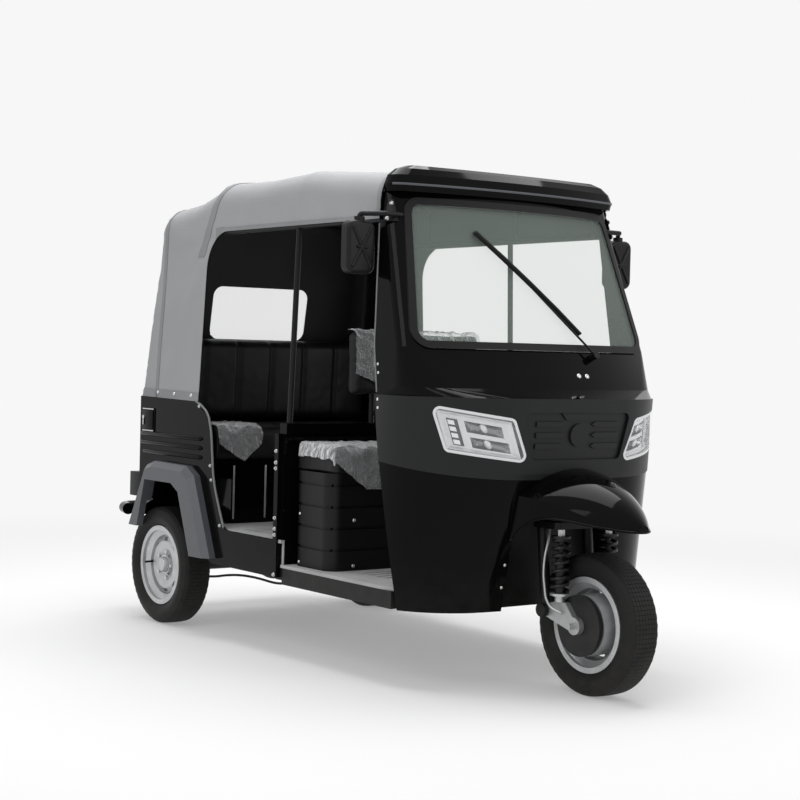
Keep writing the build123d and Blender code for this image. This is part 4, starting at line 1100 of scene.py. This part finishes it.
make_piece("front_damper_ends", bright, "cast_alloy", "steering")
print("spring faces", len(springs.data.polygons))

# %% [markdown]
# ## Brake cable and pipe
# The brake cable hangs free under the right side, so it is a cord with a known length: a smooth curve led
# by the same points as its solid. The pipe to the front brake is rigid and clipped on, so it is plain trim.
# A curve with a bevel makes both, and its own line gives the length to measure.

# %% Cable and pipe
cable_points = [(-0.902, -0.400, 0.196), (-0.800, -0.404, 0.205), (-0.690, -0.410, 0.226),
                (-0.560, -0.416, 0.242), (-0.420, -0.420, 0.246), (-0.290, -0.422, 0.240),
                (-0.200, -0.420, 0.252), (-0.138, -0.416, 0.284), (-0.0795, -0.412, 0.306)]
pipe_points = [(1.06, -0.118, 0.285), (1.015, -0.135, 0.31), (0.995, -0.142, 0.38), (0.99, -0.14, 0.46),
               (0.985, -0.12, 0.53), (0.97, -0.1, 0.575)]


def make_curve(name, points, radius, finish, body="chassis", through=False):
    """A round tube along a smooth curve, led by its points or through each of them."""
    curve = bpy.data.curves.new(name, "CURVE")
    curve.dimensions = "3D"
    curve.bevel_depth = 1.0
    curve.bevel_resolution = 4
    curve.resolution_u = 8
    curve.use_fill_caps = True
    if through:
        spline = curve.splines.new("BEZIER")
        spline.bezier_points.add(len(points) - 1)
        for point, spot in zip(spline.bezier_points, points):
            point.co = spot
            point.radius = radius
            point.handle_left_type = point.handle_right_type = "AUTO"
    else:
        spline = curve.splines.new("NURBS")
        spline.points.add(len(points) - 1)
        for point, spot in zip(spline.points, points):
            point.co = (*spot, 1)
            point.radius = radius
        spline.order_u = 3
        spline.use_endpoint_u = True
    piece = bpy.data.objects.new(name, curve)
    bpy.context.scene.collection.objects.link(piece)
    curve.materials.append(finishes[finish])
    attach(piece, body)
    return piece


def tube_length(piece):
    """The length of a curve's own line."""
    curve = piece.data
    depth, curve.bevel_depth = curve.bevel_depth, 0
    bpy.context.view_layer.update()
    line = evaluated(piece)
    curve.bevel_depth = depth
    ends = [[line.vertices[end].co for end in edge.vertices] for edge in line.edges]
    return sum((first - last).length for first, last in ends)


cable = make_curve("brake_line", cable_points, 0.005, "rubber")
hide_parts("brake_cable")
cable_length = tube_length(cable)
make_curve("front_brake_pipe", pipe_points, 0.0045, "cast_alloy", "steering", through=True)
print("cable length", round(cable_length, 4))

# %% [markdown]
# ## Trim and fixings
# The last step is the small hardware that tells the eye how large the vehicle is. Its places are measured
# from the photo where it shows there, and mirrored to the other side. The mirrors come first: crossed ribs
# on the front of each shell, and a thin silvered plate at its back. The wiper's blade has a spine, whose
# points come from a formula for the slope and bow of the screen, so that it stays the same distance ahead
# of the glass.

# %% Mirrors and wiper
mirror_x, mirror_y, mirror_z = 0.512, 0.622, 1.534
mirror_face = 0.0215
bm = bmesh.new()
glass_bm = bmesh.new()
for side in (-1, 1):
    x, y, z = mirror_x, side * mirror_y, mirror_z
    ahead = x + mirror_face
    for way in (-1, 1):
        add_rod(bm, (ahead, y - 0.04, z - way * 0.07), (ahead, y + 0.04, z + way * 0.07), 0.0065, 12)
    add_rod(bm, (ahead, y - 0.022, z), (ahead, y + 0.022, z), 0.006, 12)
    add_box(glass_bm, (x - 0.0245, y - 0.05, z - 0.083), (x - mirror_face, y + 0.05, z + 0.083), 0.001)
make_piece("mirror_ribs", bm, "black_plastic")
make_piece("mirror_glasses", glass_bm, "mirror_silver")

screen_x, screen_z, screen_slope, screen_bow = 0.838, 1.19, 0.36697, 3.0
wiper_line = [(0.151, 1.246), (0.055, 1.334), (-0.045, 1.424), (-0.14, 1.51), (-0.238, 1.598)]


def wiper_spot(y, z):
    """A point on the wiper's back, just ahead of the sloping and bowed screen."""
    x = screen_x - (z - screen_z) * screen_slope - y * y / screen_bow
    return Vector((x + 0.0155, y, z + 0.0055))


bm = bmesh.new()
spots = [wiper_spot(y, z) for y, z in wiper_line]
for low, high in zip(spots, spots[1:]):
    add_rod(bm, low, high, 0.006, 8)
make_piece("wiper_spine", bm, "black_plastic")
print("mirror and wiper trim made")

# %% [markdown]
# Bolts and studs hold the sheet metal. How far out a curved panel stands can't be read off the photo, so a
# ray cast from outside finds the surface and seats each head on it. All of them go into one mesh, because
# they share a finish and a body.

# %% Bolts and studs
panel_y = 0.58
# each row's heights, or places along and heights; pillar studs name their solid first
post_bolts = [0.783, 0.739, 0.717, 0.528, 0.487, 0.464, 0.312]
quarter_bolts = [(-0.552, 0.694), (-0.542, 0.637), (-0.468, 0.46), (-0.65, 0.93)]
seat_box_studs = [0.552, 0.369]
mirror_bolts = [1.638, 1.692]
cowl_studs = [(0.913, 0.44), (0.899, 0.36)]
pillar_studs = [("front_cowl_upper", 0.579, 1.126), ("front_cowl_upper", 0.582, 1.096),
                ("front_band", 0.59, 1.003), ("front_band", 0.593, 0.974)]


def seat_on(node, spot, facing):
    """Where a line through spot, seen from the facing side, first meets a solid."""
    facing = Vector(facing).normalized()
    found, place, *_ = bpy.data.objects[node].ray_cast(Vector(spot) + 0.1 * facing, -facing)
    return place if found else Vector(spot)


bm = bmesh.new()
for side in (-1, 1):
    out = (0, side, 0)
    for z in post_bolts:
        add_bolt(bm, (-0.06, side * panel_y, z), out, 0.0055, 0.004)
    for x, z in quarter_bolts:
        add_bolt(bm, (x, side * panel_y, z), out, 0.005, 0.003)
    for z in seat_box_studs:
        add_stud(bm, (0.03, side * 0.5255, z), out, 0.006)
    for z in mirror_bolts:
        add_bolt(bm, seat_on("mirrors", (0.562, side * 0.56, z), out), out, 0.006, 0.005)
    for x, z in cowl_studs:
        ahead = (1, side * 0.1, -0.2)
        add_stud(bm, seat_on("front_cowl_lower", (x, side * 0.25, z), ahead), ahead, 0.006)
    for node, x, z in pillar_studs:
        add_stud(bm, seat_on(node, (x, side * 0.6, z), out), out, 0.0055)
body_bolts = make_piece("body_bolts", bm, "zinc")
print("bolts and studs:", len(body_bolts.data.polygons), "faces")

# %% [markdown]
# A few fittings have places of their own: two washer jets below the screen, a flap with a latch and two
# bright edges on the right rear panel, and screws on the front of the driver's seat box.

# %% Jets, flap and screws
bm = bmesh.new()
for y in (0.101, 0.142):
    ahead = (1, 0, 0.4)
    add_stud(bm, seat_on("front_cowl_upper", (0.88, y, 1.1), ahead), ahead, 0.01)
make_piece("washer_jets", bm, "zinc")

bm = bmesh.new()
add_box(bm, (-1.12, -0.588, 0.816), (-1.029, -0.5835, 0.898), 0.0015)
make_piece("flap_plate", bm, "black_paint")
bm = bmesh.new()
for z in (0.811, 0.903):
    add_box(bm, (-1.122, -0.587, z - 0.0022), (-1.027, -0.5835, z + 0.0022), 0.0008)
add_rod(bm, (-1.105, -0.587, 0.868), (-1.105, -0.593, 0.868), 0.008, 20)
add_box(bm, (-1.108, -0.594, 0.835), (-1.102, -0.588, 0.862), 0.0015)
make_piece("flap_latch", bm, "zinc")

bm = bmesh.new()
for y in (-0.418, -0.14, 0.14, 0.418):
    for z in (0.37, 0.54):
        add_stud(bm, (0.2355, y, z), (1, 0, 0), 0.007)
make_piece("seat_base_screws", bm, "zinc")
print("jets, flap and screws made")

# %% [markdown]
# Pressed ribs stiffen the rear panels, and thin sheet covers a few places: housings round the tail lamps, a
# cover on the step between the two floors, and bright strips on the front of the bench. Boxes are enough
# for these, and a small bevel on their edges is what catches the light.

# %% Panel ribs, lamp housings and covers
rib_front, rib_half = -0.626, 0.009
bm = bmesh.new()
for side in (-1, 1):
    y = side * panel_y
    for z, rear in ((0.722, -1.118), (0.76, -1.138), (0.798, -1.138)):
        add_box(bm, (rear, y - rib_half, z - 0.0095), (rib_front, y + rib_half, z + 0.0095), 0.0085)
make_piece("quarter_ribs", bm, "black_paint", sharp=70)

housing_rear, housing_low, housing_high = -1.262, 0.521, 0.623
# half width and front end of the inner and the outer wall, which meet the arched tail panel
housing_walls = [(0.467, -1.186), (0.565, -1.166)]
wall = 0.001
bm = bmesh.new()
for side in (-1, 1):
    for half, fore in housing_walls:
        y = side * half
        add_box(bm, (housing_rear, y - wall, housing_low), (fore, y + wall, housing_high), 0.0008)
    right_end, left_end = sorted(side * half for half, fore in housing_walls)
    fore = housing_walls[0][1]
    for z in (housing_low, housing_high):
        add_box(bm, (housing_rear, right_end, z - wall), (fore, left_end, z + wall), 0.0008)
make_piece("tail_lamp_housings", bm, "black_plastic")

bm = bmesh.new()
add_box(bm, (-0.0248, -0.556, 0.3525), (-0.0232, 0.556, 0.4465))
make_piece("riser_cover", bm, "black_paint")
bm = bmesh.new()
for y in (-0.415, -0.262, 0.262, 0.415):
    add_box(bm, (-0.6398, y - 0.004, 0.465), (-0.6375, y + 0.004, 0.686), 0.0008)
make_piece("bench_base_strips", bm, "cast_alloy")
print("panel ribs, lamp housings and covers made")

# %% [markdown]
# Piping, pillar trim and the fender's lip are round beads that follow an edge. A curve through a few points
# makes such a bead, where sweeping a circle step by step would need many. One line serves both sides.

# %% Piping and lips
# panel edge: along, height
edge_line = [(-0.684, 0.949), (-0.632, 0.93), (-0.586, 0.898), (-0.566, 0.855), (-0.556, 0.82),
             (-0.545, 0.74), (-0.529, 0.64), (-0.488, 0.54), (-0.443, 0.452)]
# trim on the edge of each pillar, and lip of the front fender: along, half width, height
pillar_line = [(0.5765, 0.5745, 1.028), (0.568, 0.5755, 1.112), (0.559, 0.576, 1.2), (0.551, 0.568, 1.289),
               (0.542, 0.56, 1.378), (0.525, 0.5443, 1.554), (0.518, 0.5375, 1.622)]
lip_line = [(0.95, 0.2465, 0.547), (0.985, 0.236, 0.58), (1.036, 0.217, 0.61), (1.119, 0.176, 0.613),
            (1.208, 0.125, 0.6), (1.286, 0.066, 0.588), (1.329, 0.02, 0.5845)]


def make_curve_pair(name, line, radius):
    """Piping along the same line on both sides."""
    for side_name, side in (("right", -1), ("left", 1)):
        points = [(x, side * y, z) for x, y, z in line]
        make_curve(f"{name}_{side_name}", points, radius, "edge_piping", through=True)


make_curve_pair("quarter_piping", [(x + 0.003, 0.577, z) for x, z in edge_line], 0.0045)
make_curve_pair("pillar_trim", pillar_line, 0.0035)
lip_points = [(x, -y, z) for x, y, z in lip_line] + [(x, y, z) for x, y, z in reversed(lip_line)]
make_curve("fender_lip", lip_points, 0.0045, "black_paint", through=True)
print("piping on panels, pillars and fender made")

# %% [markdown]
# Three pieces remain. The visor's line is a slice of the visor's own skin, lifted a little, so that it
# follows the curve exactly. The grips have moulded rings, and the mats on the two floors have raised ribs.

# %% Visor line, grips and mats
bm = solid_copy("roof_visor")
for spot, facing in (((0, 0, 1.757), (0, 0, -1)), ((0, 0, 1.7635), (0, 0, 1)), ((0.57, 0, 0), (-1, 0, 0))):
    cut_plane(bm, spot, facing)
core = Vector((0.3, 0, 1.76))
inner = [face for face in bm.faces if face.normal.dot(face.calc_center_median() - core) <= 0]
bmesh.ops.delete(bm, geom=inner, context="FACES")
swell(bm, 0.002)
bmesh.ops.solidify(bm, geom=bm.faces[:], thickness=0.0018)
make_piece("visor_line", bm, "flare_plastic", sharp=40)

bm = bmesh.new()
for side in (-1, 1):
    start, inward = Vector((0.5314, side * 0.28, 1.004)), Vector((0.07, -side * 0.09, 0)).normalized()
    for ring in range(9):
        spot = start + inward * (0.004 + ring * 0.01)
        bmesh.ops.create_cone(bm, cap_ends=True, segments=24, radius1=0.0188, radius2=0.0188, depth=0.004,
                              matrix=placed(spot, inward))
make_piece("grip_rings", bm, "rubber", "steering")

bm = bmesh.new()
for rib in range(9):
    add_box(bm, (0.29 + rib * 0.05, -0.43, 0.352), (0.315 + rib * 0.05, 0.43, 0.3555), 0.0015)
for rib in range(8):
    add_box(bm, (-0.43 + rib * 0.045, -0.5, 0.446), (-0.408 + rib * 0.045, 0.5, 0.4495), 0.0015)
make_piece("floor_ribs", bm, "floor_mat")
print("visor line, grips and floor ribs made")
